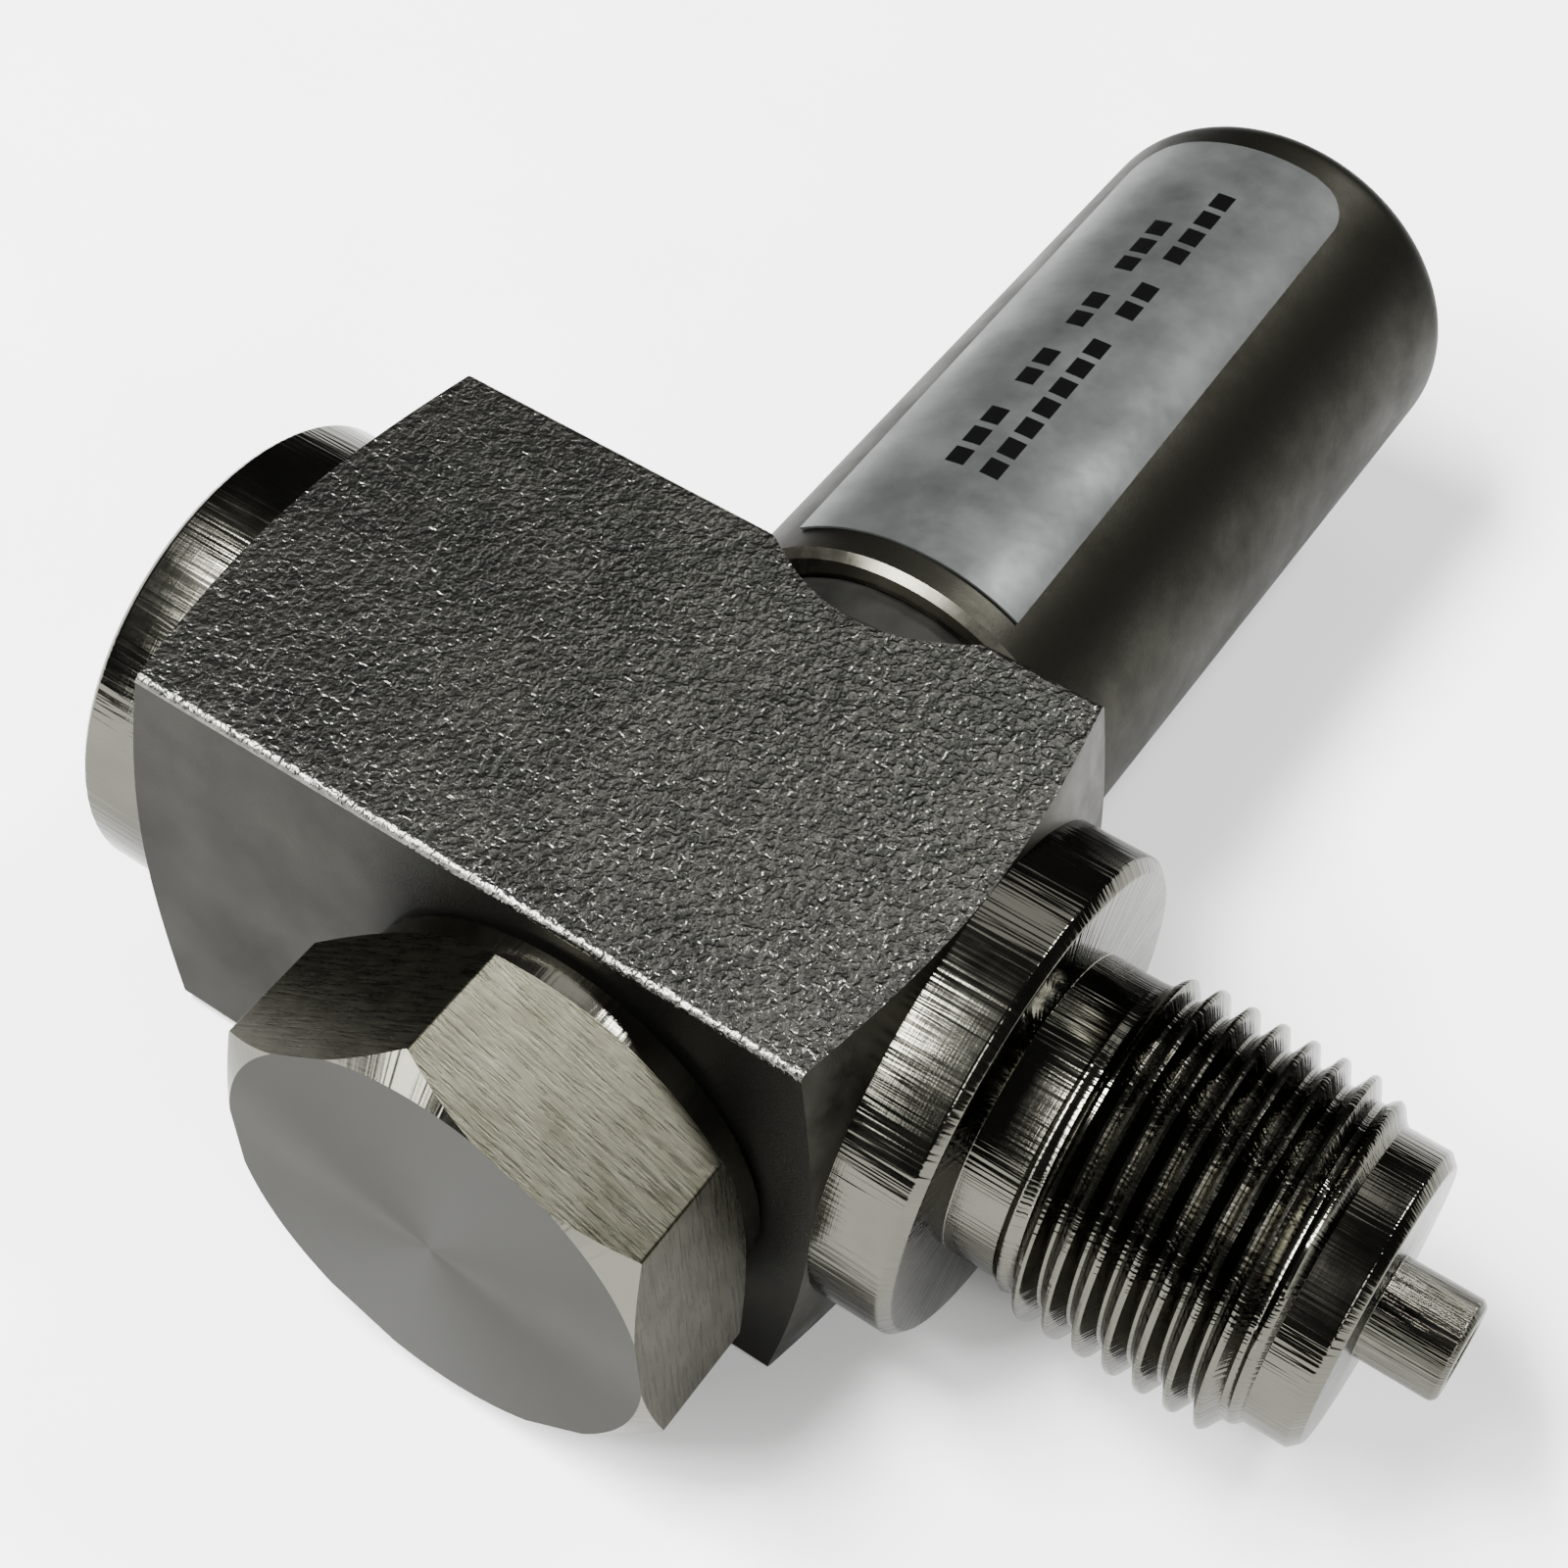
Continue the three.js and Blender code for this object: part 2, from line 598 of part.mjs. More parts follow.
// --------------------------------------------------------------------- poppet
const DISC_START = SEAT_LIP_Y + FACE_GAP;
const DISC_END = DISC_START + DISC_THICKNESS;
const HOLDER_START = DISC_START + DISC_STANDOUT;
const HOLDER_END = HOLDER_START + HOLDER_LENGTH;
const DISC_SCREW_TIP = DISC_START + DISC_SCREW_LENGTH;
const SPRING_SEAT_START = COLLAR_Y + STEM_COLLAR_LENGTH + FACE_GAP;
const SPRING_START = SPRING_SEAT_START + SPRING_SEAT_THICKNESS;
const SPRING_END = SPRING_START + SPRING_LENGTH;
const STEM_CLIP_Y = SPRING_START + SPRING_PILOT_LENGTH + FACE_GAP;
const STEM_TOP = STEM_CLIP_Y + CLIP_THICKNESS + STEM_TOP_STANDOUT;

function sealDisc() {
  const hole = DISC_SCREW_SHANK_RADIUS + FIT_GAP;
  return tube(hole, DISC_RADIUS, DISC_START, DISC_END, MEDIUM);
}

function discScrew() {
  const headStart = DISC_START - FACE_GAP - DISC_SCREW_HEAD_LENGTH;
  const blank = turned(
    [
      [0, headStart],
      [DISC_SCREW_HEAD_RADIUS, headStart],
      [DISC_SCREW_HEAD_RADIUS, DISC_START - FACE_GAP],
      [DISC_SCREW_SHANK_RADIUS, DISC_START - FACE_GAP],
      [DISC_SCREW_SHANK_RADIUS, DISC_SCREW_TIP],
      [0, DISC_SCREW_TIP],
    ],
    COARSE,
  );
  const slot = new THREE.BoxGeometry(
    4 * DISC_SCREW_HEAD_RADIUS,
    DISC_SCREW_HEAD_LENGTH,
    DISC_SCREW_HEAD_LENGTH / 2,
  );
  slot.translate(0, headStart, 0);
  return blank.subtract(toSolid(slot));
}

function poppetStem() {
  const pocket = DISC_END + FACE_GAP;
  const clipFloor = STEM_RADIUS - CLIP_GROOVE_DEPTH;
  const collarEnd = COLLAR_Y + STEM_COLLAR_LENGTH;
  const tapped = DISC_SCREW_SHANK_RADIUS + FIT_GAP;
  return turned(
    [
      [0, DISC_SCREW_TIP + FIT_GAP],
      [tapped, DISC_SCREW_TIP + FIT_GAP],
      [tapped, pocket],
      [DISC_RADIUS + FIT_GAP, pocket],
      [DISC_RADIUS + FIT_GAP, HOLDER_START],
      [HOLDER_RADIUS, HOLDER_START],
      [HOLDER_RADIUS, HOLDER_END],
      [STEM_RADIUS, HOLDER_END],
      [STEM_RADIUS, COLLAR_Y],
      [STEM_COLLAR_RADIUS, COLLAR_Y],
      [STEM_COLLAR_RADIUS, collarEnd],
      [STEM_RADIUS, collarEnd],
      [STEM_RADIUS, STEM_CLIP_Y - FACE_GAP],
      [clipFloor, STEM_CLIP_Y - FACE_GAP],
      [clipFloor, STEM_CLIP_Y + CLIP_THICKNESS + FACE_GAP],
      [STEM_RADIUS, STEM_CLIP_Y + CLIP_THICKNESS + FACE_GAP],
      [STEM_RADIUS, STEM_TOP],
      [0, STEM_TOP],
    ],
    MEDIUM,
  );
}

// An open flat ring of square section, as a circlip is.
function circlip(inner, outer, y) {
  const shape = new THREE.Shape();
  const from = radians(CLIP_OPENING / 2);
  shape.absarc(0, 0, outer, from, 2 * Math.PI - from, false);
  shape.absarc(0, 0, inner, 2 * Math.PI - from, from, true);
  shape.closePath();
  const geometry = new THREE.ExtrudeGeometry(shape, {
    depth: CLIP_THICKNESS,
    bevelEnabled: false,
    curveSegments: COARSE,
  });
  geometry.rotateX(-Math.PI / 2);
  geometry.translate(0, y, 0);
  return toSolid(geometry);
}

function stemClip() {
  return circlip(STEM_RADIUS - CLIP_GROOVE_DEPTH + SEAL_GAP, STEM_CLIP_RADIUS, STEM_CLIP_Y);
}

// ----------------------------------------------------------------- stem guide
const BUSH_START = GUIDE_START;
const BUSH_END = BUSH_START + BUSH_LENGTH;
const STEM_RING_Y = (BUSH_END + GUIDE_END - GUIDE_LIP) / 2;
const STEM_RING_RADIUS = STEM_RADIUS + SEAL_GAP + STEM_RING_SECTION;

function stemGuide() {
  const bushHole = BUSH_OUTER_RADIUS + SEAL_GAP;
  const grooveRadius = STEM_RING_RADIUS + STEM_RING_SECTION + SEAL_GAP;
  const stemHole = STEM_RADIUS + 2 * FIT_GAP;
  return turned(
    [
      [bushHole, GUIDE_START],
      [GUIDE_BORE_RADIUS - FIT_GAP, GUIDE_START],
      [GUIDE_BORE_RADIUS - FIT_GAP, GUIDE_END],
      [stemHole, GUIDE_END],
      [stemHole, GUIDE_END - GUIDE_LIP],
      [grooveRadius, GUIDE_END - GUIDE_LIP],
      [grooveRadius, BUSH_END + FACE_GAP],
      [bushHole, BUSH_END + FACE_GAP],
    ],
    MEDIUM,
  );
}

function guideBush() {
  return tube(STEM_RADIUS + FIT_GAP / 2, BUSH_OUTER_RADIUS, BUSH_START, BUSH_END, MEDIUM);
}

function stemRing() {
  return ring(STEM_RING_RADIUS, STEM_RING_SECTION, STEM_RING_Y, COARSE);
}

function guideClip() {
  const y = GUIDE_START - FACE_GAP - CLIP_THICKNESS;
  return circlip(GUIDE_CLIP_INNER, GUIDE_CLIP_RADIUS - SEAL_GAP, y);
}

// --------------------------------------------------------------------- spring
// The wire's centre line: closed turns at both ends, even pitch between them.
class SpringPath extends THREE.Curve {
  getPoint(t, target = new THREE.Vector3()) {
    const turns = SPRING_ACTIVE_TURNS + 2 * SPRING_CLOSED_TURNS;
    const turn = t * turns;
    const closedRise = 2 * SPRING_WIRE_RADIUS + FACE_GAP;
    const wireRun = SPRING_LENGTH - 2 * SPRING_WIRE_RADIUS - 2 * FACE_GAP;
    const activeRise = (wireRun - 2 * closedRise * SPRING_CLOSED_TURNS) / SPRING_ACTIVE_TURNS;
    const low = Math.min(turn, SPRING_CLOSED_TURNS);
    const high = Math.max(turn - SPRING_CLOSED_TURNS - SPRING_ACTIVE_TURNS, 0);
    const middle = turn - low - high;
    const rise = (low + high) * closedRise + middle * activeRise;
    const angle = 2 * Math.PI * turn;
    return target.set(
      SPRING_MEAN_RADIUS * Math.cos(angle),
      SPRING_START + SPRING_WIRE_RADIUS + FACE_GAP + rise,
      SPRING_MEAN_RADIUS * Math.sin(angle),
    );
  }
}

function spring() {
  const section = new THREE.Shape();
  section.absarc(0, 0, SPRING_WIRE_RADIUS, 0, 2 * Math.PI, false);
  const turns = SPRING_ACTIVE_TURNS + 2 * SPRING_CLOSED_TURNS;
  const geometry = new THREE.ExtrudeGeometry(section, {
    steps: Math.round(turns * SPRING_STEPS_PER_TURN),
    curveSegments: 4,
    extrudePath: new SpringPath(),
  });
  return toSolid(geometry);
}

function lowerSpringSeat() {
  const hole = STEM_RADIUS + FIT_GAP;
  const top = SPRING_START + SPRING_PILOT_LENGTH;
  return turned(
    [
      [hole, SPRING_SEAT_START],
      [SPRING_SEAT_RADIUS, SPRING_SEAT_START],
      [SPRING_SEAT_RADIUS, SPRING_START],
      [SPRING_PILOT_RADIUS, SPRING_START],
      [SPRING_PILOT_RADIUS, top],
      [hole, top],
    ],
    MEDIUM,
  );
}

// ----------------------------------------------------------------- adjustment
const UPPER_SEAT_TOP = SPRING_END + SPRING_SEAT_THICKNESS;
const BALL_Y = UPPER_SEAT_TOP + BALL_RADIUS - BALL_POCKET;
const ADJUSTER_START = BALL_Y + BALL_RADIUS - BALL_POCKET;
const ADJUSTER_END = ADJUSTER_START + ADJUSTER_LENGTH;
const CAP_END = ADJUSTER_END + CAP_HEADROOM + CAP_END_THICKNESS;
const HOUSING_CHAMBER_END = UPPER_SEAT_TOP + HOUSING_BALL_ROOM;
const HOUSING_END = HOUSING_CHAMBER_END + HOUSING_TOP_THICKNESS;

// A ball, swollen by a gap where it is used to cut its own pocket.
function ballAt(gap) {
  const geometry = new THREE.SphereGeometry(BALL_RADIUS + gap, COARSE, COARSE / 2);
  geometry.translate(0, BALL_Y, 0);
  return toSolid(geometry);
}

function upperSpringSeat() {
  const blank = turned(
    [
      [0, SPRING_END - SPRING_PILOT_LENGTH],
      [SPRING_PILOT_RADIUS, SPRING_END - SPRING_PILOT_LENGTH],
      [SPRING_PILOT_RADIUS, SPRING_END],
      [SPRING_SEAT_RADIUS, SPRING_END],
      [SPRING_SEAT_RADIUS, UPPER_SEAT_TOP],
      [0, UPPER_SEAT_TOP],
    ],
    MEDIUM,
  );
  return blank.subtract(ballAt(FIT_GAP));
}

function adjustingScrew() {
  const rod = threadedRod(
    ADJUSTER_LENGTH,
    ADJUSTER_RADIUS - ADJUSTER_THREAD_DEPTH,
    ADJUSTER_RADIUS,
    ADJUSTER_PITCH,
    ADJUSTER_PITCH / 8,
    ADJUSTER_PITCH / 8,
    COARSE,
  );
  const socketFloor = ADJUSTER_END - ADJUSTER_SOCKET_DEPTH;
  const socket = hexPrism(ADJUSTER_SOCKET_FLATS, socketFloor, ADJUSTER_END + OVERCUT);
  return rod.translate([0, ADJUSTER_START, 0]).subtract(socket).subtract(ballAt(FIT_GAP));
}

function lockNut() {
  const from = HOUSING_END + FACE_GAP;
  const to = from + LOCK_NUT_THICKNESS;
  const hole = tube(0, ADJUSTER_RADIUS + FIT_GAP, from - OVERCUT, to + OVERCUT, COARSE);
  return hexPrism(LOCK_NUT_FLATS, from, to).subtract(hole);
}

// ------------------------------------------------------------- spring housing
function springHousing() {
  const flangeStart = RECESS_FLOOR_Y + FACE_GAP;
  const spigotStart = HOUSING_BORE_FLOOR + FIT_GAP;
  const spigotRadius = HOUSING_BORE_RADIUS - FIT_GAP;
  const grooveHalf = CAP_RING_SECTION + 4 * SEAL_GAP;
  const grooveFloor = HOUSING_THREAD_RADIUS - 2 * CAP_RING_SECTION;
  const clipTop = GUIDE_START;
  const clipFloor = GUIDE_START - 2 * FACE_GAP - CLIP_THICKNESS;
  const faceInner = FACE_RING_RADIUS - FACE_RING_SECTION - SEAL_GAP;
  const faceOuter = FACE_RING_RADIUS + FACE_RING_SECTION + SEAL_GAP;
  const faceDepth = 2 * FACE_RING_SECTION + SEAL_GAP;
  const screwHole = ADJUSTER_RADIUS + FIT_GAP;
  return turned(
    [
      [GUIDE_BORE_RADIUS, spigotStart],
      [spigotRadius, spigotStart],
      [spigotRadius, flangeStart],
      [faceInner, flangeStart],
      [faceInner, flangeStart + faceDepth],
      [faceOuter, flangeStart + faceDepth],
      [faceOuter, flangeStart],
      [HOUSING_FLANGE_RADIUS, flangeStart],
      [HOUSING_FLANGE_RADIUS, HOUSING_NECK_START],
      [HOUSING_NECK_RADIUS, HOUSING_NECK_START + HOUSING_TAPER],
      [HOUSING_NECK_RADIUS, HOUSING_FLANGE_TOP],
      [HOUSING_THREAD_RADIUS, HOUSING_FLANGE_TOP],
      [HOUSING_THREAD_RADIUS, CAP_RING_Y - grooveHalf],
      [grooveFloor, CAP_RING_Y - grooveHalf],
      [grooveFloor, CAP_RING_Y + grooveHalf],
      [HOUSING_THREAD_RADIUS, CAP_RING_Y + grooveHalf],
      [HOUSING_THREAD_RADIUS, HOUSING_THREAD_TOP],
      [HOUSING_TUBE_RADIUS, HOUSING_THREAD_TOP + HOUSING_TAPER],
      [HOUSING_TUBE_RADIUS, HOUSING_END],
      [screwHole, HOUSING_END],
      [screwHole, HOUSING_CHAMBER_END],
      [HOUSING_CHAMBER_RADIUS, HOUSING_CHAMBER_END],
      [HOUSING_CHAMBER_RADIUS, GUIDE_END + FACE_GAP],
      [GUIDE_BORE_RADIUS, GUIDE_END + FACE_GAP],
      [GUIDE_BORE_RADIUS, clipTop],
      [GUIDE_CLIP_RADIUS, clipTop],
      [GUIDE_CLIP_RADIUS, clipFloor],
      [GUIDE_BORE_RADIUS, clipFloor],
    ],
    MEDIUM,
  );
}

function faceRing() {
  const y = RECESS_FLOOR_Y + FACE_RING_SECTION + FACE_GAP;
  return ring(FACE_RING_RADIUS, FACE_RING_SECTION, y, MEDIUM);
}

function capRing() {
  const radius = CAP_BORE_RADIUS - SEAL_GAP - CAP_RING_SECTION;
  return ring(radius, CAP_RING_SECTION, CAP_RING_Y, MEDIUM);
}

// ----------------------------------------------------------- bonnet cap, label
function bonnetCap() {
  const profile = [
    [CAP_BORE_RADIUS, CAP_START],
    [CAP_RADIUS - CAP_LEAD_CHAMFER, CAP_START],
    [CAP_RADIUS, CAP_START + CAP_LEAD_CHAMFER],
  ];
  for (let i = 0; i <= CAP_ROUNDING_STEPS; i += 1) {
    const angle = (i / CAP_ROUNDING_STEPS) * (Math.PI / 2);
    profile.push([
      CAP_RADIUS - CAP_ROUNDING * (1 - Math.cos(angle)),
      CAP_END - CAP_ROUNDING * (1 - Math.sin(angle)),
    ]);
  }
  profile.push([0, CAP_END]);
  profile.push([0, CAP_END - CAP_END_THICKNESS]);
  profile.push([CAP_BORE_RADIUS - CAP_ROUNDING / 2, CAP_END - CAP_END_THICKNESS]);
  profile.push([CAP_BORE_RADIUS, CAP_END - CAP_END_THICKNESS - CAP_ROUNDING / 2]);
  return turned(profile, FINE);
}

const LABEL_START = CAP_START + LABEL_SETBACK;

// The label's flat outline, bent round the cap: X is the way round, Y along.
function pressureLabel() {
  const inner = CAP_RADIUS + FACE_GAP;
  const width = radians(LABEL_TO - LABEL_FROM) * inner;
  const flat = new THREE.BoxGeometry(
    width,
    LABEL_LENGTH,
    LABEL_THICKNESS,
    LABEL_STEPS,
    LABEL_ROWS,
    1,
  );
  const outline = new THREE.Shape();
  outline.moveTo(-width / 2, 0);
  outline.lineTo(width / 2, 0);
  outline.lineTo(width / 2, LABEL_LENGTH - LABEL_CORNER);
  outline.absarc(
    width / 2 - LABEL_CORNER, LABEL_LENGTH - LABEL_CORNER, LABEL_CORNER, 0, Math.PI / 2, false,
  );
  outline.lineTo(LABEL_CORNER - width / 2, LABEL_LENGTH);
  outline.absarc(
    LABEL_CORNER - width / 2, LABEL_LENGTH - LABEL_CORNER, LABEL_CORNER,
    Math.PI / 2, Math.PI, false,
  );
  outline.closePath();
  const cutter = new THREE.ExtrudeGeometry(outline, {
    depth: 4 * LABEL_THICKNESS,
    bevelEnabled: false,
    curveSegments: LABEL_CORNER_STEPS,
  });
  flat.translate(0, LABEL_LENGTH / 2, LABEL_THICKNESS / 2);
  cutter.translate(0, 0, -LABEL_THICKNESS);
  const middle = radians((LABEL_FROM + LABEL_TO) / 2);
  return toSolid(flat)
    .intersect(toSolid(cutter))
    .warp((vertex) => {
      const drift = radians(LABEL_SKEW) * (vertex[1] / LABEL_LENGTH);
      const angle = middle - vertex[0] / inner + drift;
      const radius = inner + vertex[2];
      vertex[0] = radius * Math.cos(angle);
      vertex[1] += LABEL_START;
      vertex[2] = radius * Math.sin(angle);
    });
}

// ------------------------------------------------------------------- assembly
const PIECES = [
  ["body", body, BODY_STEEL],
  ["hex_plug", hexPlug, PLUG_STEEL],
  ["plug_seal_ring", plugSealRing, EPDM],
  ["seat_insert", seatInsert, TURNED_STEEL],
  ["seat_o_ring", seatRing, EPDM],
  ["seal_disc", sealDisc, EPDM],
  ["disc_screw", discScrew, TURNED_STEEL],
  ["poppet_stem", poppetStem, TURNED_STEEL],
  ["stem_circlip", stemClip, SPRING_STEEL],
  ["stem_guide", stemGuide, TURNED_STEEL],
  ["guide_bush", guideBush, PTFE],
  ["stem_o_ring", stemRing, EPDM],
  ["guide_circlip", guideClip, SPRING_STEEL],
  ["lower_spring_seat", lowerSpringSeat, TURNED_STEEL],
  ["spring", spring, SPRING_STEEL],
  ["upper_spring_seat", upperSpringSeat, TURNED_STEEL],
  ["thrust_ball", () => ballAt(0), TURNED_STEEL],
  ["adjusting_screw", adjustingScrew, TURNED_STEEL],
  ["lock_nut", lockNut, TURNED_STEEL],
  ["spring_housing", springHousing, TURNED_STEEL],
  ["housing_o_ring", faceRing, EPDM],
  ["cap_o_ring", capRing, EPDM],
  ["bonnet_cap", bonnetCap, CAP_STEEL],
  ["pressure_label", pressureLabel, LABEL_FILM],
];

const group = new THREE.Group();
for (const [name, build, material] of PIECES) {
  const mesh = toMesh(name, build(), material);
  mesh.position.z = HALF_BAR;
  group.add(mesh);
}

export default group;
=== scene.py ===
"""Looks of an inline pressure relief valve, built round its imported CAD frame.

Metres, +Z up. The main axis runs along X and the valve axis along Y. Both lie
half a bar above the underside. Sizes in the classes below are millimetres.
"""

import json
import logging
from collections.abc import Callable, Sequence
from dataclasses import dataclass
from enum import Enum

import bpy
import numpy as np
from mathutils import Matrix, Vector

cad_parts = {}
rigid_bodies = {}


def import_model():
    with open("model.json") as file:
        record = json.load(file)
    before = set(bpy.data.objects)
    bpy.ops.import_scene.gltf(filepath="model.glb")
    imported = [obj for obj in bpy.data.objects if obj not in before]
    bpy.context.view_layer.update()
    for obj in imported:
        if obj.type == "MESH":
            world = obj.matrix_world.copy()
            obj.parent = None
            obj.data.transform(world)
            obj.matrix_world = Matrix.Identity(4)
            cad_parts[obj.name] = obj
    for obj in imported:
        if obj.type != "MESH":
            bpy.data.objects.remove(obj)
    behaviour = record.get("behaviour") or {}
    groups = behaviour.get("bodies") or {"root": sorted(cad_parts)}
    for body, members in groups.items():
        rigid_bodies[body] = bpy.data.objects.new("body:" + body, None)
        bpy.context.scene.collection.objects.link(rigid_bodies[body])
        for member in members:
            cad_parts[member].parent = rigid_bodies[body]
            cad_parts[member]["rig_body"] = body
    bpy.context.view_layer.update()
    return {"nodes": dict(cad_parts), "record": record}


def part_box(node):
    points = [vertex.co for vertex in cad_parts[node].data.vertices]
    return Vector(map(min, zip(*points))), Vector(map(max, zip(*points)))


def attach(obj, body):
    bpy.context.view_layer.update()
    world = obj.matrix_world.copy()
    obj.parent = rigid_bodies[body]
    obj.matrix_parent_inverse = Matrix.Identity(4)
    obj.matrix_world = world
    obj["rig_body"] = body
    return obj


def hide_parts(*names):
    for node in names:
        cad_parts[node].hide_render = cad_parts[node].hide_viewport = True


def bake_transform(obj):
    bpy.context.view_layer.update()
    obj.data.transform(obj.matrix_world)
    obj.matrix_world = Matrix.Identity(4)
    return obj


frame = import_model()

LOG = logging.getLogger("relief_valve")
MM = 0.001
TURN = 2.0 * np.pi
WELD_DISTANCE = 2e-7
LABEL_UV = "label"
GRAZING_TINT = 0.6

Colour = tuple[float, float, float, float]
Grid = np.ndarray
Profile = Sequence[tuple[float, float]]


class Axis(Enum):
    """The line that a turned surface was spun about."""

    MAIN = "X"
    VALVE = "Y"


def axis_height() -> float:
    """Return the height of both axes above the underside, in metres."""
    low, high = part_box("bonnet_cap")
    return float(low.z + high.z) / 2.0


# ------------------------------------------------------------------ surfaces


def place(along: np.ndarray, across: np.ndarray, up: np.ndarray, axis: Axis) -> Grid:
    """Stand local distances on an axis of the valve.

    Formula: on the main axis (x, y, z) = (along, across, up + height), and on
    the valve axis (x, y, z) = (across, along, up + height), all scaled to metres.

    Args:
        along: Distances along the axis, in millimetres.
        across: Level distances off the axis.
        up: Upward distances off the axis.
        axis: Which axis the distances belong to.

    Returns:
        Points in metres, with x, y and z in the last dimension.
    """
    first, second = (along, across) if axis is Axis.MAIN else (across, along)
    points = np.stack(np.broadcast_arrays(first, second, up), axis=-1) * MM
    points[..., 2] += axis_height()
    return points


def grid_faces(rows: int, columns: int, start: int = 0) -> np.ndarray:
    """Return the four corners of every cell of a grid of points.

    Args:
        rows: Points down the grid.
        columns: Points across the grid.
        start: Index of the grid's first point.

    Returns:
        One row of four indices a cell.
    """
    index = np.arange(rows * columns).reshape(rows, columns) + start
    corners = (index[:-1, :-1], index[1:, :-1], index[1:, 1:], index[:-1, 1:])
    return np.stack([c.ravel() for c in corners], axis=-1)


def link_new(name: str, data: bpy.types.ID) -> bpy.types.Object:
    """Return a new object in the scene that shows some data."""
    made = bpy.data.objects.new(name, data)
    bpy.context.scene.collection.objects.link(made)
    return made


def vertices_of(mesh: bpy.types.Mesh) -> np.ndarray:
    """Return a mesh's vertices, one row of x, y and z each."""
    points = np.empty(len(mesh.vertices) * 3, np.float32)
    mesh.vertices.foreach_get("co", points)
    return points.reshape(-1, 3)


def weld(points: np.ndarray, steps: int = 1) -> tuple[np.ndarray, np.ndarray]:
    """Find the points that lie together.

    Args:
        points: One row of x, y and z for each point.
        steps: Weld distances within which two points are one.

    Returns:
        Which points to keep, and the kept point that each one becomes.
    """
    keys = np.round(points / WELD_DISTANCE / steps).astype(np.int64)
    _, first, inverse = np.unique(keys, axis=0, return_index=True, return_inverse=True)
    return first, inverse.reshape(-1)


def signed_volume(mesh: bpy.types.Mesh) -> float:
    """Return the volume a closed mesh encloses, negative if it is inside out."""
    mesh.calc_loop_triangles()
    triangles = np.empty(len(mesh.loop_triangles) * 3, np.int32)
    mesh.loop_triangles.foreach_get("vertices", triangles)
    a, b, c = np.moveaxis(vertices_of(mesh)[triangles.reshape(-1, 3)], 1, 0)
    return float(np.einsum("ij,ij->i", a, np.cross(b, c)).sum() / 6.0)


def mesh_of(name: str, grids: Sequence[Grid]) -> bpy.types.Object:
    """Weld grids of points into one closed object that faces outwards.

    Args:
        name: Name of the new object.
        grids: Point grids whose touching borders are stitched together.

    Returns:
        The new object, at the origin.
    """
    points = np.concatenate([g.reshape(-1, 3) for g in grids])
    starts = np.cumsum([0] + [g.shape[0] * g.shape[1] for g in grids[:-1]])
    faces = np.concatenate(
        [grid_faces(g.shape[0], g.shape[1], s) for g, s in zip(grids, starts)]
    )
    first, welded = weld(points)
    loops = (list(dict.fromkeys(face)) for face in welded[faces].tolist())
    mesh = bpy.data.meshes.new(name)
    mesh.from_pydata(points[first].tolist(), [], [lp for lp in loops if len(lp) > 2])
    mesh.validate()
    if signed_volume(mesh) < 0:
        mesh.flip_normals()
    return link_new(name, mesh)


def sharpen(piece: bpy.types.Object, degrees: float = 28.0) -> None:
    """Shade a piece smoothly, with its edges over an angle kept sharp."""
    piece.data.shade_smooth()
    piece.data.set_sharp_from_angle(angle=np.radians(degrees))


def spin(profile: Profile, angle: np.ndarray, axis: Axis) -> Grid:
    """Spin a profile about an axis.

    Formula: each point (radius r, distance d) of the profile becomes the circle
    (d, r cos a, r sin a) for every angle a.

    Args:
        profile: Radius and distance along the axis, in millimetres.
        angle: Angles of the columns, about the axis.
        axis: The axis to spin about.

    Returns:
        The grid of points, one row for each point of the profile.
    """
    radius, along = (column[:, None] for column in np.asarray(profile, float).T)
    return place(along, radius * np.cos(angle), radius * np.sin(angle), axis)


def revolve(profile: Profile, axis: Axis, sides: int) -> Grid:
    """Spin a profile once round an axis, with a number of flats in the turn."""
    return spin(profile, np.arange(sides + 1) % sides * (TURN / sides), axis)


def stack_rows(rows: Sequence[tuple[object, object]], columns: int) -> list[np.ndarray]:
    """Return a grid's radii and distances, from rows of numbers or of one a column."""
    return [np.stack([np.broadcast_to(v, columns) for v in part]) for part in zip(*rows)]


def rounded(profile: Profile, radius: float = 0.12, steps: int = 3) -> Profile:
    """Break the corners of an open profile, as a deburring tool does.

    Formula: each corner P with legs to its neighbours is swapped for the curve
    (1-t)^2 A + 2t(1-t) P + t^2 B, where A and B lie one radius down each leg.

    Args:
        profile: Corners in order, in millimetres.
        radius: Distance down each leg, at most a third of it.
        steps: Pieces in each curve.

    Returns:
        The profile with its inner corners rounded.
    """
    corners = np.asarray(profile, float)
    t = np.linspace(0.0, 1.0, steps + 1)[:, None]
    out = [corners[0][None]]
    for before, corner, after in zip(corners[:-2], corners[1:-1], corners[2:]):
        legs = (before - corner, after - corner)
        lengths = [np.linalg.norm(leg) for leg in legs]
        if min(lengths) == 0.0 or corner[0] == 0.0:
            out.append(corner[None])
            continue
        a, b = (
            corner + leg / length * min(radius, length / 3.0)
            for leg, length in zip(legs, lengths)
        )
        out.append((1 - t) ** 2 * a + 2 * t * (1 - t) * corner + t**2 * b)
    out.append(corners[-1][None])
    return [tuple(p) for p in np.concatenate(out)]


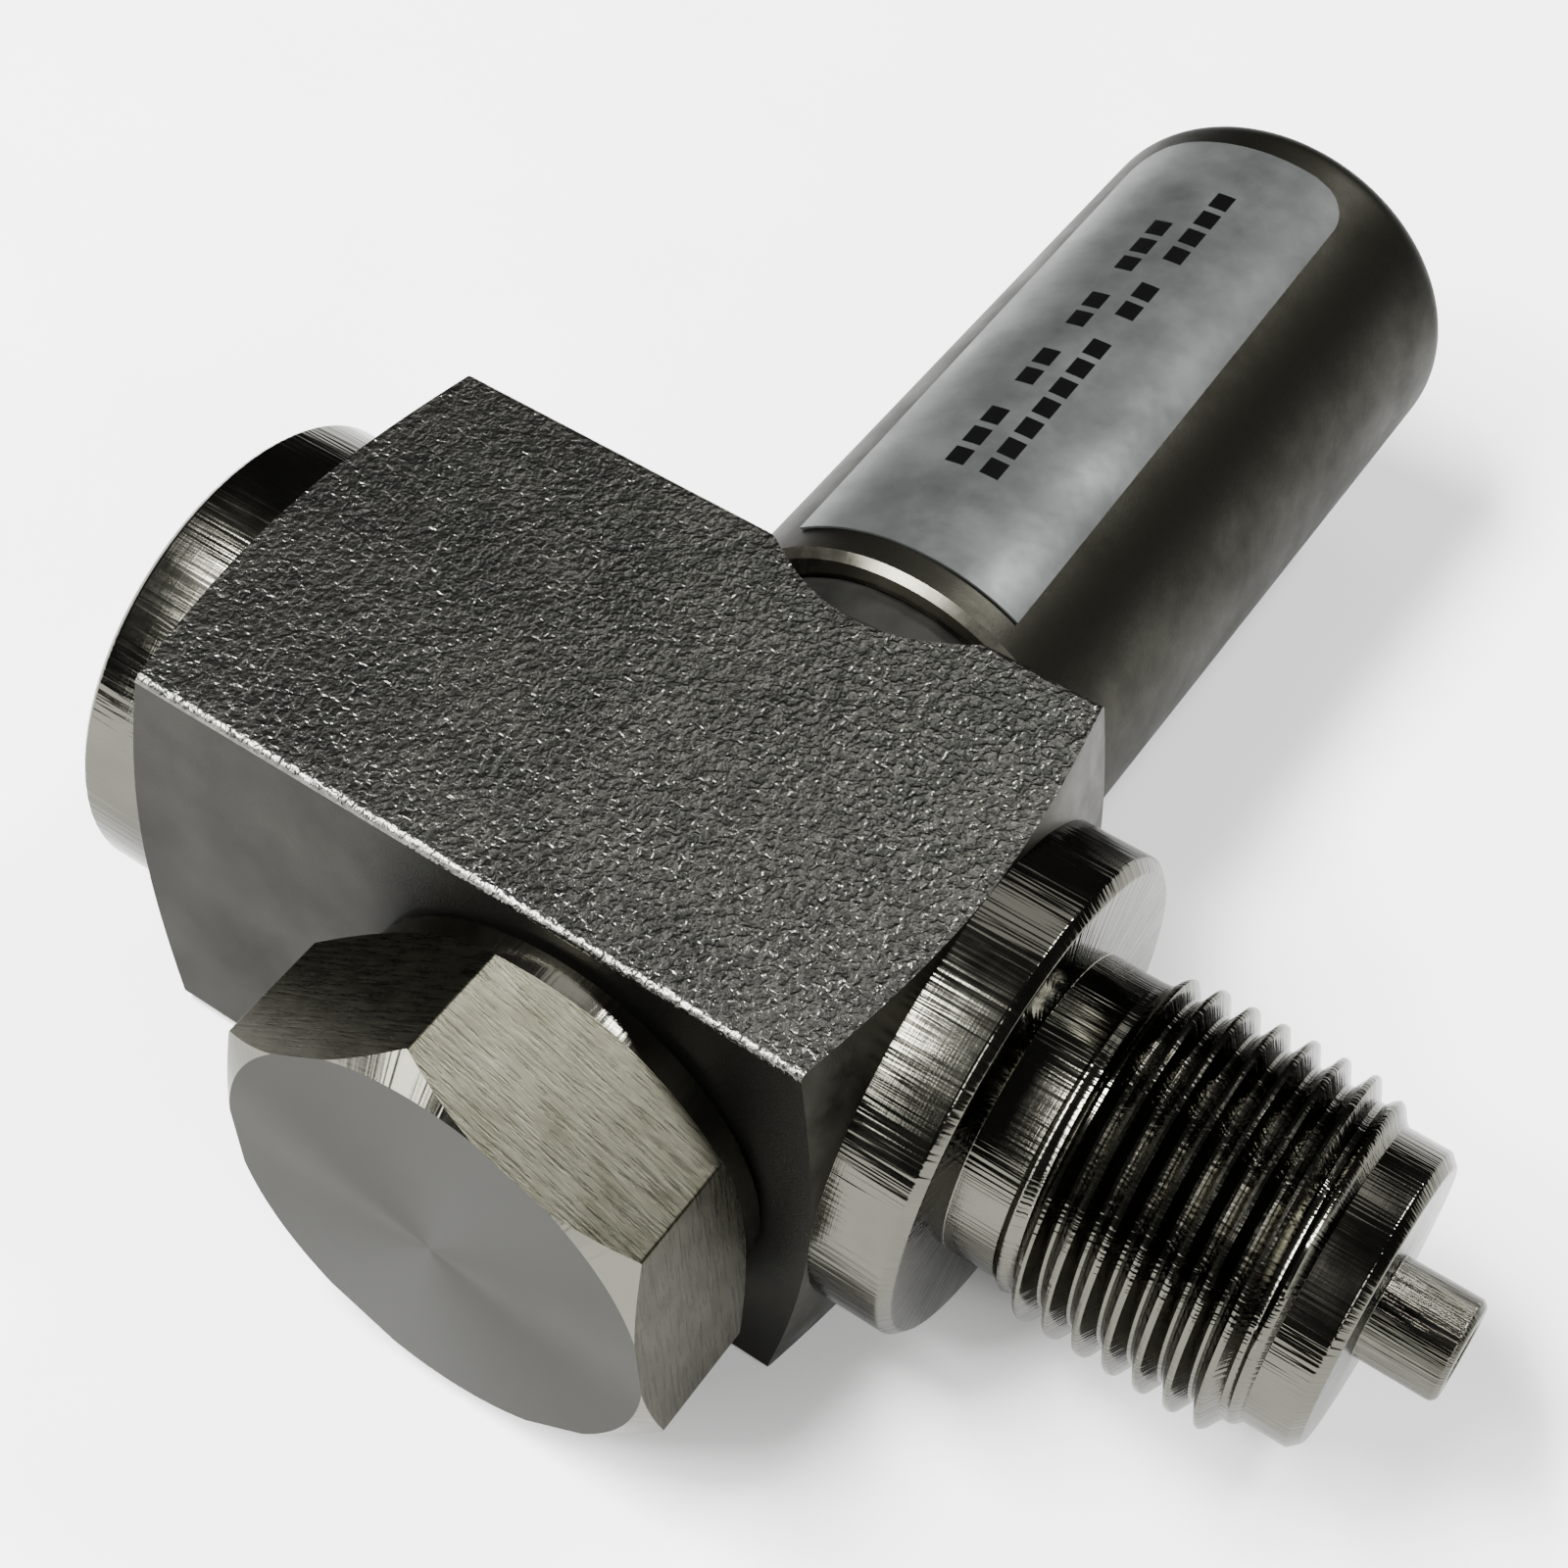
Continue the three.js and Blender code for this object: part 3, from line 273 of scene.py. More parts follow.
def cut(piece: bpy.types.Object, tool: bpy.types.Object) -> None:
    """Take a tool's volume out of a piece, then throw the tool away.

    Args:
        piece: The piece that is machined.
        tool: A closed object that covers the metal to remove.
    """
    step = piece.modifiers.new("cut", "BOOLEAN")
    step.operation = "DIFFERENCE"
    step.solver = "EXACT"
    step.object = tool
    graph = bpy.context.evaluated_depsgraph_get()
    machined = bpy.data.meshes.new_from_object(piece.evaluated_get(graph))
    piece.modifiers.clear()
    rough, piece.data = piece.data, machined
    bpy.data.meshes.remove(rough)
    shape = tool.data
    bpy.data.objects.remove(tool)
    bpy.data.meshes.remove(shape)


def polygon_facts(mesh: bpy.types.Mesh) -> tuple[np.ndarray, np.ndarray]:
    """Return the centres (millimetres, from the axes' crossing) and normals of faces."""
    centres, normals = np.empty((2, len(mesh.polygons) * 3), np.float32)
    mesh.polygons.foreach_get("center", centres)
    mesh.polygons.foreach_get("normal", normals)
    centres = centres.reshape(-1, 3)
    centres[:, 2] -= axis_height()
    return centres / MM, normals.reshape(-1, 3)


def assign(piece: bpy.types.Object, index: np.ndarray) -> None:
    """Give each face of a piece its place in the list of materials."""
    piece.data.polygons.foreach_set("material_index", index.astype(np.int32))


# ------------------------------------------------------------------ finishes


class Nodes:
    """A material's node tree, with one short call for each kind of node."""

    def __init__(self, name: str) -> None:
        """Start an empty material with its Principled shader."""
        self.material = bpy.data.materials.new(name)
        self.material.use_nodes = True
        self.tree = self.material.node_tree
        self.tree.nodes.clear()
        self.shader = self.tree.nodes.new("ShaderNodeBsdfPrincipled")
        output = self.tree.nodes.new("ShaderNodeOutputMaterial")
        self.join(self.shader.outputs["BSDF"], output.inputs["Surface"])

    def join(self, source: bpy.types.NodeSocket, target: bpy.types.NodeSocket) -> None:
        """Link one socket to another."""
        self.tree.links.new(source, target)

    def feed(self, socket: bpy.types.NodeSocket, value: object) -> None:
        """Link a socket to another, or set it to a plain value."""
        if isinstance(value, bpy.types.NodeSocket):
            self.join(value, socket)
        else:
            socket.default_value = value

    def coordinates(self) -> bpy.types.NodeSocket:
        """Return Object coordinates, centred on the axes."""
        source = self.tree.nodes.new("ShaderNodeTexCoord").outputs["Object"]
        centre = self.tree.nodes.new("ShaderNodeMapping")
        centre.inputs["Location"].default_value = (0.0, 0.0, -axis_height())
        self.join(source, centre.inputs["Vector"])
        return centre.outputs["Vector"]

    def maths(self, operation: str, *values: object) -> bpy.types.NodeSocket:
        """Return the result of one Math node on up to three values."""
        node = self.tree.nodes.new("ShaderNodeMath")
        node.operation = operation
        for socket, value in zip(node.inputs, values):
            self.feed(socket, value)
        return node.outputs["Value"]

    def distance(
        self, first: bpy.types.NodeSocket, second: bpy.types.NodeSocket
    ) -> bpy.types.NodeSocket:
        """Return how far a point lies from an axis, from its two offsets."""
        squares = [self.maths("MULTIPLY", v, v) for v in (first, second)]
        return self.maths("SQRT", self.maths("ADD", *squares))

    def parts(self, vector: bpy.types.NodeSocket) -> list[bpy.types.NodeSocket]:
        """Return the three numbers of a vector."""
        node = self.tree.nodes.new("ShaderNodeSeparateXYZ")
        self.join(vector, node.inputs[0])
        return list(node.outputs)

    def vector(self, *values: object) -> bpy.types.NodeSocket:
        """Return a vector made of three numbers."""
        node = self.tree.nodes.new("ShaderNodeCombineXYZ")
        for socket, value in zip(node.inputs, values):
            self.feed(socket, value)
        return node.outputs[0]

    def noise(
        self, vector: bpy.types.NodeSocket, scale: float, detail: float = 2.0,
        roughness: float = 0.5, distortion: float = 0.0,
    ) -> bpy.types.NodeSocket:
        """Return fractal noise, from 0 to 1.

        Args:
            vector: Where the noise is read.
            scale: Grains to the metre.
            detail: Octaves.
            roughness: Share kept by each finer octave.
            distortion: How far the noise is bent.

        Returns:
            The value socket.
        """
        node = self.tree.nodes.new("ShaderNodeTexNoise")
        self.join(vector, node.inputs["Vector"])
        for key, value in (
            ("Scale", scale), ("Detail", detail),
            ("Roughness", roughness), ("Distortion", distortion),
        ):
            node.inputs[key].default_value = value
        return node.outputs[0]

    def ramp(
        self, value: bpy.types.NodeSocket, stops: Sequence[tuple[float, Colour]],
        constant: bool = False,
    ) -> bpy.types.NodeSocket:
        """Return a colour picked from a ramp.

        Args:
            value: The place on the ramp, from 0 to 1.
            stops: Places and their colours.
            constant: Whether the colour jumps at each stop.

        Returns:
            The colour socket.
        """
        node = self.tree.nodes.new("ShaderNodeValToRGB")
        elements = node.color_ramp.elements
        node.color_ramp.interpolation = "CONSTANT" if constant else "LINEAR"
        for spare in list(elements)[1:]:
            elements.remove(spare)
        elements[0].position, elements[0].color = stops[0]
        for place_at, colour in stops[1:]:
            elements.new(place_at).color = colour
        self.join(value, node.inputs[0])
        return node.outputs[0]

    def clouded(
        self, value: bpy.types.NodeSocket, tone: float,
        *stops: tuple[float, float, float],
    ) -> bpy.types.NodeSocket:
        """Return a grey that drifts with a value.

        Args:
            value: What it drifts with, from 0 to 1.
            tone: The grey that the shares are of.
            stops: Place, share of the tone and warmth at each stop.

        Returns:
            The colour socket.
        """
        colours = [(at, grey(tone * share, warm)) for at, share, warm in stops]
        return self.ramp(value, colours)

    def blend(
        self, share: object, first: object, second: object
    ) -> bpy.types.NodeSocket:
        """Return a colour between two others."""
        node = self.tree.nodes.new("ShaderNodeMix")
        node.data_type = "RGBA"
        sockets = [s for s in node.inputs if s.enabled]
        for socket, value in zip(sockets, (share, first, second)):
            self.feed(socket, value)
        return next(s for s in node.outputs if s.enabled)

    def multiply(
        self, share: float, first: object, second: object
    ) -> bpy.types.NodeSocket:
        """Return a colour darkened by another, by a share."""
        colour = self.blend(share, first, second)
        colour.node.blend_type = "MULTIPLY"
        return colour

    def spread(
        self, value: bpy.types.NodeSocket, low: float, high: float,
        start: float = 0.3, end: float = 0.7,
    ) -> bpy.types.NodeSocket:
        """Return a value moved from one range to another."""
        node = self.tree.nodes.new("ShaderNodeMapRange")
        self.join(value, node.inputs["Value"])
        for key, number in (
            ("From Min", start), ("From Max", end), ("To Min", low), ("To Max", high),
        ):
            node.inputs[key].default_value = number
        return node.outputs[0]

    def bump(
        self, height: bpy.types.NodeSocket, depth: float,
        under: bpy.types.NodeSocket | None = None,
    ) -> bpy.types.NodeSocket:
        """Return a normal tilted by a relief.

        Args:
            height: Relief, from 0 to 1.
            depth: Height of the relief, in metres.
            under: A normal that the relief is laid over.

        Returns:
            The normal socket.
        """
        node = self.tree.nodes.new("ShaderNodeBump")
        node.inputs["Strength"].default_value = 1.0
        node.inputs["Distance"].default_value = depth
        self.join(height, node.inputs["Height"])
        if under is not None:
            self.join(under, node.inputs["Normal"])
        return node.outputs["Normal"]

    def dress(self, **sockets: object) -> bpy.types.Material:
        """Feed the shader's sockets and return the finished material."""
        for key, value in sockets.items():
            self.feed(self.shader.inputs[key.replace("_", " ")], value)
        return self.material

    def metal(self, **sockets: object) -> bpy.types.Material:
        """Feed the shader's sockets and return the finished bare metal."""
        return self.dress(Metallic=1.0, Specular_Tint=grey(GRAZING_TINT), **sockets)


def grey(value: float, warmth: float = 0.0) -> Colour:
    """Return a grey, with red raised a little and blue lowered by the warmth."""
    return (value * (1 + 0.3 * warmth), value, value * (1 - 3.0 * warmth), 1.0)


@dataclass(frozen=True)
class ForgedSkin:
    """Forged bar skin: a close orange-peel grain, its colour painted darker in the
    hollows as shade so the rounded tops look bright.
    """

    name: str = "forged_skin"
    tone: float = 0.10
    grains: float = 2300.0
    depth: float = 0.00012
    hollow_shade_share: float = 0.6

    def build(self) -> bpy.types.Material:
        """Return the material."""
        n = Nodes(self.name)
        at = n.coordinates()
        peel = n.noise(at, self.grains, 1.5, 0.45, 0.5)
        pits = n.noise(at, self.grains * 2.3, 1.0)
        patches = n.noise(at, 140.0, 3.0)
        relief = n.maths("ADD", peel, n.maths("MULTIPLY", pits, 0.22))
        tone = n.clouded(patches, self.tone, (0.3, 0.94, 0.02), (0.7, 1.05, 0.03))
        # Painted shade: the colour follows the grain relief, dark in its hollows and
        # bright on its tops.
        shaded_hollows = n.clouded(peel, 1.0, (0.38, 0.35, 0.02), (0.62, 1.0, 0.02))
        return n.metal(
            Base_Color=n.multiply(self.hollow_shade_share, tone, shaded_hollows),
            Roughness=n.spread(patches, 0.24, 0.28), Normal=n.bump(relief, self.depth),
        )


@dataclass(frozen=True)
class BlastedFace:
    """Bead-blasted flat: a fine, even, matte grain with faint clouds."""

    name: str = "blasted_face"
    tone: float = 0.019

    def build(self) -> bpy.types.Material:
        """Return the material."""
        n = Nodes(self.name)
        at = n.coordinates()
        grain = n.noise(at, 7000.0, 2.0)
        clouds = n.noise(at, 160.0, 4.0, 0.6)
        tone = n.clouded(clouds, self.tone, (0.3, 0.8, 0.04), (0.7, 1.1, 0.05))
        return n.metal(
            Base_Color=tone, Roughness=n.spread(clouds, 0.50, 0.40),
            Normal=n.bump(grain, 0.000022),
        )


@dataclass(frozen=True)
class TurnedSteel:
    """Turned steel: tool lines round the axis, and chatter ticks across them."""

    name: str
    axis: Axis
    tone: float = 0.066
    roughness: float = 0.13
    line_depth: float = 0.000004
    chatter_depth: float = 0.00006
    warmth: float = 0.06
    ticks: float = 44.0

    def build(self) -> bpy.types.Material:
        """Return the material."""
        n = Nodes(self.name)
        at = n.coordinates()
        x, y, z = n.parts(at)
        along, across = (x, y) if self.axis is Axis.MAIN else (y, x)
        angle = n.maths("ARCTAN2", z, across)
        radius = n.distance(z, across)
        lines = n.noise(n.vector(along, radius, 0.0), 9000.0, 2.0)
        turned = n.vector(
            n.maths("MULTIPLY", angle, self.ticks), n.maths("MULTIPLY", along, 130.0),
            n.maths("MULTIPLY", radius, 130.0),
        )
        chatter = n.noise(turned, 1.0, 1.0, 0.5)
        haze = n.noise(at, 260.0, 4.0, 0.6)
        tone = n.clouded(
            haze, self.tone, (0.3, 0.9, self.warmth), (0.7, 1.05, self.warmth)
        )
        normal = n.bump(chatter, self.chatter_depth)
        return n.metal(
            Base_Color=tone,
            Roughness=n.spread(haze, self.roughness * 0.75, self.roughness * 1.35),
            Normal=n.bump(lines, self.line_depth, under=normal),
        )


@dataclass(frozen=True)
class MilledFlats:
    """Milled hexagon flats: short streaks that run round the plug, painted darker in
    their low scores as shade.
    """

    name: str = "milled_flats"
    tone: float = 0.048
    long_grains: tuple[float, float] = (4.5, 4200.0)
    short_grains: tuple[float, float] = (26.0, 9000.0)
    score_shade_share: float = 0.7

    def build(self) -> bpy.types.Material:
        """Return the material."""
        n = Nodes(self.name)
        at = n.coordinates()
        x, y, z = n.parts(at)
        angle = n.maths("ARCTAN2", z, x)
        long_marks, short_marks = (
            n.vector(
                n.maths("MULTIPLY", angle, round_it), n.maths("MULTIPLY", y, along), 0.0
            )
            for round_it, along in (self.long_grains, self.short_grains)
        )
        streaks = n.noise(long_marks, 1.0, 4.0, 0.7)
        fine = n.noise(short_marks, 1.0, 2.0)
        stain = n.noise(at, 420.0, 4.0, 0.65)
        tone = n.clouded(stain, self.tone, (0.3, 0.72, 0.10), (0.72, 1.2, 0.08))
        relief = n.maths("ADD", streaks, n.maths("MULTIPLY", fine, 0.4))
        # Painted shade: the colour follows the streak relief, dark in the low scores.
        shaded_scores = n.clouded(streaks, 1.0, (0.36, 0.35, 0.0), (0.62, 1.0, 0.0))
        return n.metal(
            Base_Color=n.multiply(self.score_shade_share, tone, shaded_scores),
            Roughness=n.spread(streaks, 0.22, 0.36), Normal=n.bump(relief, 0.000022),
        )


@dataclass(frozen=True)
class FacedEnd:
    """Faced end: rings so fine that the light fans out from the middle."""

    name: str = "faced_end"
    tone: float = 0.036

    def build(self) -> bpy.types.Material:
        """Return the material."""
        n = Nodes(self.name)
        at = n.coordinates()
        x, _, z = n.parts(at)
        radius = n.distance(x, z)
        rings = n.noise(n.vector(radius, 0.0, 0.0), 7000.0, 2.0)
        haze = n.noise(at, 230.0, 5.0, 0.6)
        tone = n.clouded(haze, self.tone, (0.3, 0.9, 0.03), (0.7, 1.06, 0.03))
        tangent = n.tree.nodes.new("ShaderNodeTangent")
        tangent.direction_type = "RADIAL"
        tangent.axis = "Y"
        return n.metal(
            Base_Color=tone, Roughness=n.spread(haze, 0.42, 0.47),
            Anisotropic=0.7, Tangent=tangent.outputs[0],
            Normal=n.bump(rings, 0.0000025),
        )


@dataclass(frozen=True)
class SatinCap:
    """Satin cap: soft mottling over faint lines round the tube."""

    name: str = "satin_cap"
    tone: float = 0.018

    def build(self) -> bpy.types.Material:
        """Return the material."""
        n = Nodes(self.name)
        at = n.coordinates()
        _, y, _ = n.parts(at)
        lines = n.noise(n.vector(y, 0.0, 0.0), 5200.0, 2.0)
        grain = n.noise(at, 5200.0, 2.0)
        mottle = n.noise(at, 210.0, 6.0, 0.68)
        tone = n.clouded(
            mottle, self.tone, (0.28, 0.60, 0.08), (0.55, 1.0, 0.07), (0.75, 1.4, 0.06)
        )
        normal = n.bump(grain, 0.000008)
        return n.metal(
            Base_Color=tone, Roughness=n.spread(mottle, 0.50, 0.38),
            Normal=n.bump(lines, 0.0000025, under=normal),
        )


@dataclass(frozen=True)
class PrintedFilm:
    """Silvery label film with smudges and two rows of plain dashes."""

    name: str = "label_film"
    ink_rows: tuple[tuple[float, float], ...] = ((0.375, 0.455), (0.525, 0.605))
    first_words: tuple[int, ...] = (3, 2, 2, 3)
    second_words: tuple[int, ...] = (7, 2, 4)
    print_from: float = 0.17
    dash: float = 0.036
    dash_gap: float = 0.012
    ink: Colour = (0.002, 0.002, 0.002, 1.0)
    film: tuple[tuple[float, Colour], ...] = (
        (0.30, (0.018, 0.019, 0.019, 1.0)), (0.5, (0.031, 0.033, 0.032, 1.0)),
        (0.7, (0.048, 0.051, 0.050, 1.0)),
    )

    def dashes(self, words: Sequence[int]) -> list[tuple[float, Colour]]:
        """Return constant ramp stops, white on each dash and black between.

        Args:
            words: How many dashes each group holds.

        Returns:
            Places along the label and their colours.
        """
        stops = [(0.0, grey(0.0))]
        at = self.print_from
        for letters in words:
            length = letters * self.dash + (letters - 1) * self.dash_gap
            stops += [(at, grey(1.0)), (at + length, grey(0.0))]
            at += length + self.dash + 2 * self.dash_gap
        return stops

    def build(self) -> bpy.types.Material:
        """Return the material."""
        n = Nodes(self.name)
        uv = n.tree.nodes.new("ShaderNodeUVMap")
        uv.uv_map = LABEL_UV
        u, v, _ = n.parts(uv.outputs[0])
        pitch = self.dash + self.dash_gap
        past = n.maths("DIVIDE", n.maths("SUBTRACT", v, self.print_from), pitch)
        letters = n.maths("LESS_THAN", n.maths("FRACT", past), self.dash / pitch)
        rows = []
        word_rows = (self.first_words, self.second_words)
        for (low, high), words in zip(self.ink_rows, word_rows):
            inside = n.maths("MULTIPLY", n.maths("GREATER_THAN", u, low),
                             n.maths("LESS_THAN", u, high))
            word = n.parts(n.ramp(v, self.dashes(words), constant=True))[0]
            rows.append(n.maths("MULTIPLY", n.maths("MULTIPLY", inside, word), letters))
        ink = n.maths("MAXIMUM", *rows)
        at = n.coordinates()
        smudge = n.noise(at, 190.0, 5.0, 0.62)
        specks = n.noise(at, 1500.0, 2.0)
        return n.dress(
            Base_Color=n.blend(ink, n.ramp(smudge, self.film), self.ink),
            Metallic=0.35, Roughness=n.spread(smudge, 0.44, 0.34),
            Specular_IOR_Level=n.spread(ink, 0.30, 0.02, 0.0, 1.0),
            Normal=n.bump(specks, 0.000006),
        )


@dataclass(frozen=True)
class FineGrain:
    """A plain finish with soft patches and a fine grain, for hidden pieces."""

    name: str
    dark: Colour
    light: Colour
    metallic: float
    roughness: float
    grains: float = 3000.0

    def build(self) -> bpy.types.Material:
        """Return the material."""
        n = Nodes(self.name)
        at = n.coordinates()
        patches = n.noise(at, 300.0, 4.0)
        grain = n.noise(at, self.grains, 2.0)
        return n.dress(
            Base_Color=n.ramp(patches, [(0.3, self.dark), (0.7, self.light)]),
            Metallic=self.metallic,
            Roughness=n.spread(patches, self.roughness * 0.85, self.roughness * 1.15),
            Normal=n.bump(grain, 0.000006),
        )


# -------------------------------------------------------------------- pieces


def finish_piece(
    piece: bpy.types.Object, nodes: Sequence[str],
    materials: Sequence[bpy.types.Material],
) -> bpy.types.Object:
    """Dress a piece and let it stand for its CAD nodes.

    Args:
        piece: The new object.
        nodes: CAD nodes that it stands for, all on one body.
        materials: Materials in slot order.

    Returns:
        The same object.
    """
    for material in materials:
        piece.data.materials.append(material)
    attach(piece, frame["nodes"][nodes[0]]["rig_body"])
    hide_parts(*nodes)
    LOG.info("%s: %d faces", piece.name, len(piece.data.polygons))
    return piece


@dataclass
class ValveBody:
    """Square-bar body with its port, stud and cross bores."""

    half_bar: float = 15.0
    edge_round: float = 0.45
    edge_steps: int = 5
    steps_on_flat: int = 30
    block_left: float = -28.9
    block_right: float = 14.45
    cone_degrees: float = 15.0
    boss: float = 14.95
    boss_left: float = -35.3
    boss_chamfer: float = 0.5
    collar_right: float = 21.0
    collar_chamfer: float = 0.6
    neck: float = 9.25
    neck_end: float = 24.1
    thread_end: float = 38.9
    nose: float = 8.87
    nose_end: float = 42.0
    nose_chamfer: float = 0.6
    spigot: float = 3.0
    spigot_end: float = 46.7
    spigot_chamfer: float = 0.3
    inlet: float = 1.75
    inlet_end: float = 14.6
    port_floor: float = -19.4
    port_chamfer: float = 0.9
    port_thread_end: float = -21.5
    minor: float = 9.3155
    major: float = 10.4775
    pitch: float = 1.814
    land: float = 0.3
    rows_per_pitch: int = 10
    corner_inset: float = 0.12
    valve_bore: Profile = (
        (0.0, -16.0), (10.5, -16.0), (10.5, -6.0), (6.9, -6.0), (6.9, -2.0),
        (5.6, -2.0), (5.6, -1.0), (9.0, -1.0), (9.0, 5.6), (10.6, 5.6),
        (10.6, 11.8), (14.9, 11.8), (16.7, 15.0), (16.7, 16.0), (0.0, 16.0),
    )
    outlet: float = 3.0
    outlet_start: float = -20.4
    outlet_end: float = -6.9
    outlet_offset: float = 2.3
    cross: float = 1.5
    cross_degrees: float = 40.0
    cross_low: float = -12.0

    @property
    def slope(self) -> float:
        """Return how far a shoulder's cone runs along the axis for each step out."""
        return np.tan(np.radians(self.cone_degrees))

    @property
    def cone_foot(self) -> float:
        """Return how far a shoulder's cone runs from the bar's corner to the boss."""
        return (self.half_bar * np.sqrt(2.0) - self.boss) * self.slope

    def section(self) -> np.ndarray:
        """Return the bar's rounded square section.

        Formula: each quarter is a straight run whose steps crowd towards the
        corner, then a quarter circle of the edge's radius. Four copies, each a
        quarter turn on, close the loop.

        Returns:
            Level and upward distances from the axis, first point repeated last.
        """
        straight = self.half_bar - self.edge_round
        t = np.linspace(-1.0, 1.0, self.steps_on_flat + 1)
        run = straight * np.sin(t * np.pi / 2)
        near_corner = straight - self.corner_inset
        run = np.sort(np.append(run, [-near_corner, near_corner]))
        side = np.stack([np.full_like(run, self.half_bar), run], axis=-1)
        a = np.linspace(0.0, np.pi / 2, self.edge_steps + 1)[1:-1]
        corner = straight + self.edge_round * np.stack([np.cos(a), np.sin(a)], axis=-1)
        quarter = np.concatenate([side, corner])
        turns = [
            quarter @ np.array([[c, s], [-s, c]])
            for c, s in ((1, 0), (0, 1), (-1, 0), (0, -1))
        ]
        loop = np.concatenate(turns)
        return np.concatenate([loop, loop[:1]])

    def block(self, angle: np.ndarray) -> Grid:
        """Return the bar between its two turned shoulders.

        Formula: a cone reaches distance s from the axis at x = corner -
        (corner distance - s) tan(cone angle). Each point of the section starts
        and ends where its own distance meets the two cones.

        Args:
            angle: Angles of the section's points, about the axis.

        Returns:
            The grid, from the boss to the collar.
        """
        reach = np.hypot(*self.section().T)
        corner = self.half_bar * np.sqrt(2.0)
        left = self.block_left - (corner - reach) * self.slope
        right = self.block_right + (corner - reach) * self.slope

        def cone(foot: float, edge: np.ndarray, shares: Sequence[float]) -> list:
            """Return rows from a shoulder's foot to the bar's edge."""
            return [
                (self.boss + (reach - self.boss) * t, foot * (1 - t) + edge * t)
                for t in shares
            ]

        first, last = left + self.corner_inset, right - self.corner_inset
        rows = [
            *cone(self.block_left - self.cone_foot, left, (0.0, 0.5, 1.0)),
            *(
                (reach, first * (1 - t) + last * t)
                for t in (0.0, *np.linspace(0.06, 0.94, 9), 1.0)
            ),
            *cone(self.block_right + self.cone_foot, right, (1.0, 0.5, 0.0)),
        ]
        radius, along = stack_rows(rows, len(reach))
        return place(along, radius * np.cos(angle), radius * np.sin(angle), Axis.MAIN)

    def thread(
        self, angle: np.ndarray, start: float, end: float,
        before: float, after: float, inside: bool,
    ) -> Grid:
        """Return a right-hand thread form between two rings.

        Formula: row k stands at x = start + k step + pitch a / 2 pi at angle a,
        held between the two ends. Its depth follows a trapezium with rounded
        shoulders once a pitch, and fades over the first and last turn.

        Args:
            angle: Angles of the columns, from 0 to a full turn.
            start: Where the thread starts.
            end: Where the thread ends.
            before: Radius of the ring that it starts on.
            after: Radius of the ring that it ends on.
            inside: Whether the thread is cut in a hole.

        Returns:
            The grid, with its last column one pitch along from the first.
        """
        turn = np.concatenate([np.unwrap(angle[:-1]), [angle[0] + TURN]]) - angle[0]
        step = self.pitch / self.rows_per_pitch
        count = int(np.ceil((end - start) / step)) + 1
        k = np.arange(-self.rows_per_pitch, count)[:, None]
        free = start + k * step + self.pitch * turn / TURN
        along = np.clip(free, start, end)
        phase = np.abs(np.mod(k / self.rows_per_pitch, 1.0) - 0.5) * self.pitch
        flank = self.pitch / 2 - self.land
        form = np.clip((self.pitch / 2 - self.land / 2 - phase) / flank, 0.0, 1.0)
        fade = np.clip(np.minimum(along - start, end - along) / self.pitch, 0.0, 1.0)
        ease = np.clip(fade * 3.0, 0.0, 1.0)
        first_half = along < (start + end) / 2
        ends = np.where(first_half, before, after)
        base = ends + (self.minor - ends) * ease
        depth = (self.major - self.minor) * fade * (1.0 - form if inside else form)
        radius = base + depth
        at = angle[0] + turn
        return place(along, radius * np.cos(at), radius * np.sin(at), Axis.MAIN)

    def skin(self) -> bpy.types.Object:
        """Return the body before its cross bores are machined."""
        flat = self.section()
        angle = np.arctan2(flat[:, 1], flat[:, 0])
        angle[-1] = angle[0]
        port_start = self.boss_left + self.port_chamfer
        port_floor = rounded([
            (0.0, self.port_floor), (self.minor, self.port_floor),
            (self.minor, self.port_thread_end),
        ])
        mouth = rounded([
            (self.minor, port_start), (self.minor + self.port_chamfer, self.boss_left),
            (self.boss - self.boss_chamfer, self.boss_left),
            (self.boss, self.boss_left + self.boss_chamfer),
            (self.boss, self.block_left - self.cone_foot),
        ])
        collar = rounded([
            (self.boss, self.block_right + self.cone_foot),
            (self.boss, self.collar_right - self.collar_chamfer),
            (self.boss - self.collar_chamfer, self.collar_right),
            (self.neck, self.collar_right), (self.neck, self.neck_end),
        ])
        tip = rounded([
            (self.nose, self.thread_end), (self.nose, self.nose_end - self.nose_chamfer),
            (self.nose - self.nose_chamfer, self.nose_end), (self.spigot, self.nose_end),
            (self.spigot, self.spigot_end - self.spigot_chamfer),
            (self.spigot - self.spigot_chamfer, self.spigot_end),
            (self.inlet, self.spigot_end), (self.inlet, self.inlet_end),
            (0.0, self.inlet_end),
        ])
        inner = self.thread(
            angle, port_start, self.port_thread_end, self.minor, self.minor, True
        )
        outer = self.thread(
            angle, self.neck_end, self.thread_end, self.neck, self.nose, False
        )
        floor, rim, shoulder, end = (
            spin(profile, angle, Axis.MAIN)
            for profile in (port_floor, mouth, collar, tip)
        )
        block = self.block(angle)
        return mesh_of(
            "body_steel", [floor, inner[::-1], rim, block, shoulder, outer, end]
        )

    def machine(self, piece: bpy.types.Object) -> None:
        """Cut the stepped valve bore and the two drillings into the body."""
        bore = revolve(self.valve_bore, Axis.VALVE, 128)
        cut(piece, mesh_of("valve_bore_tool", [bore]))
        cut(piece, self.outlet_tool())
        cut(piece, self.cross_tool())

    def outlet_tool(self) -> bpy.types.Object:
        """Return the drill that joins the chamber to the port."""
        start, end = self.outlet_start, self.outlet_end
        drill = [(0.0, start), (self.outlet, start), (self.outlet, end), (0.0, end)]
        grid = revolve(drill, Axis.MAIN, 48)
        grid[..., 1] += self.outlet_offset * MM
        return mesh_of("outlet_tool", [grid])

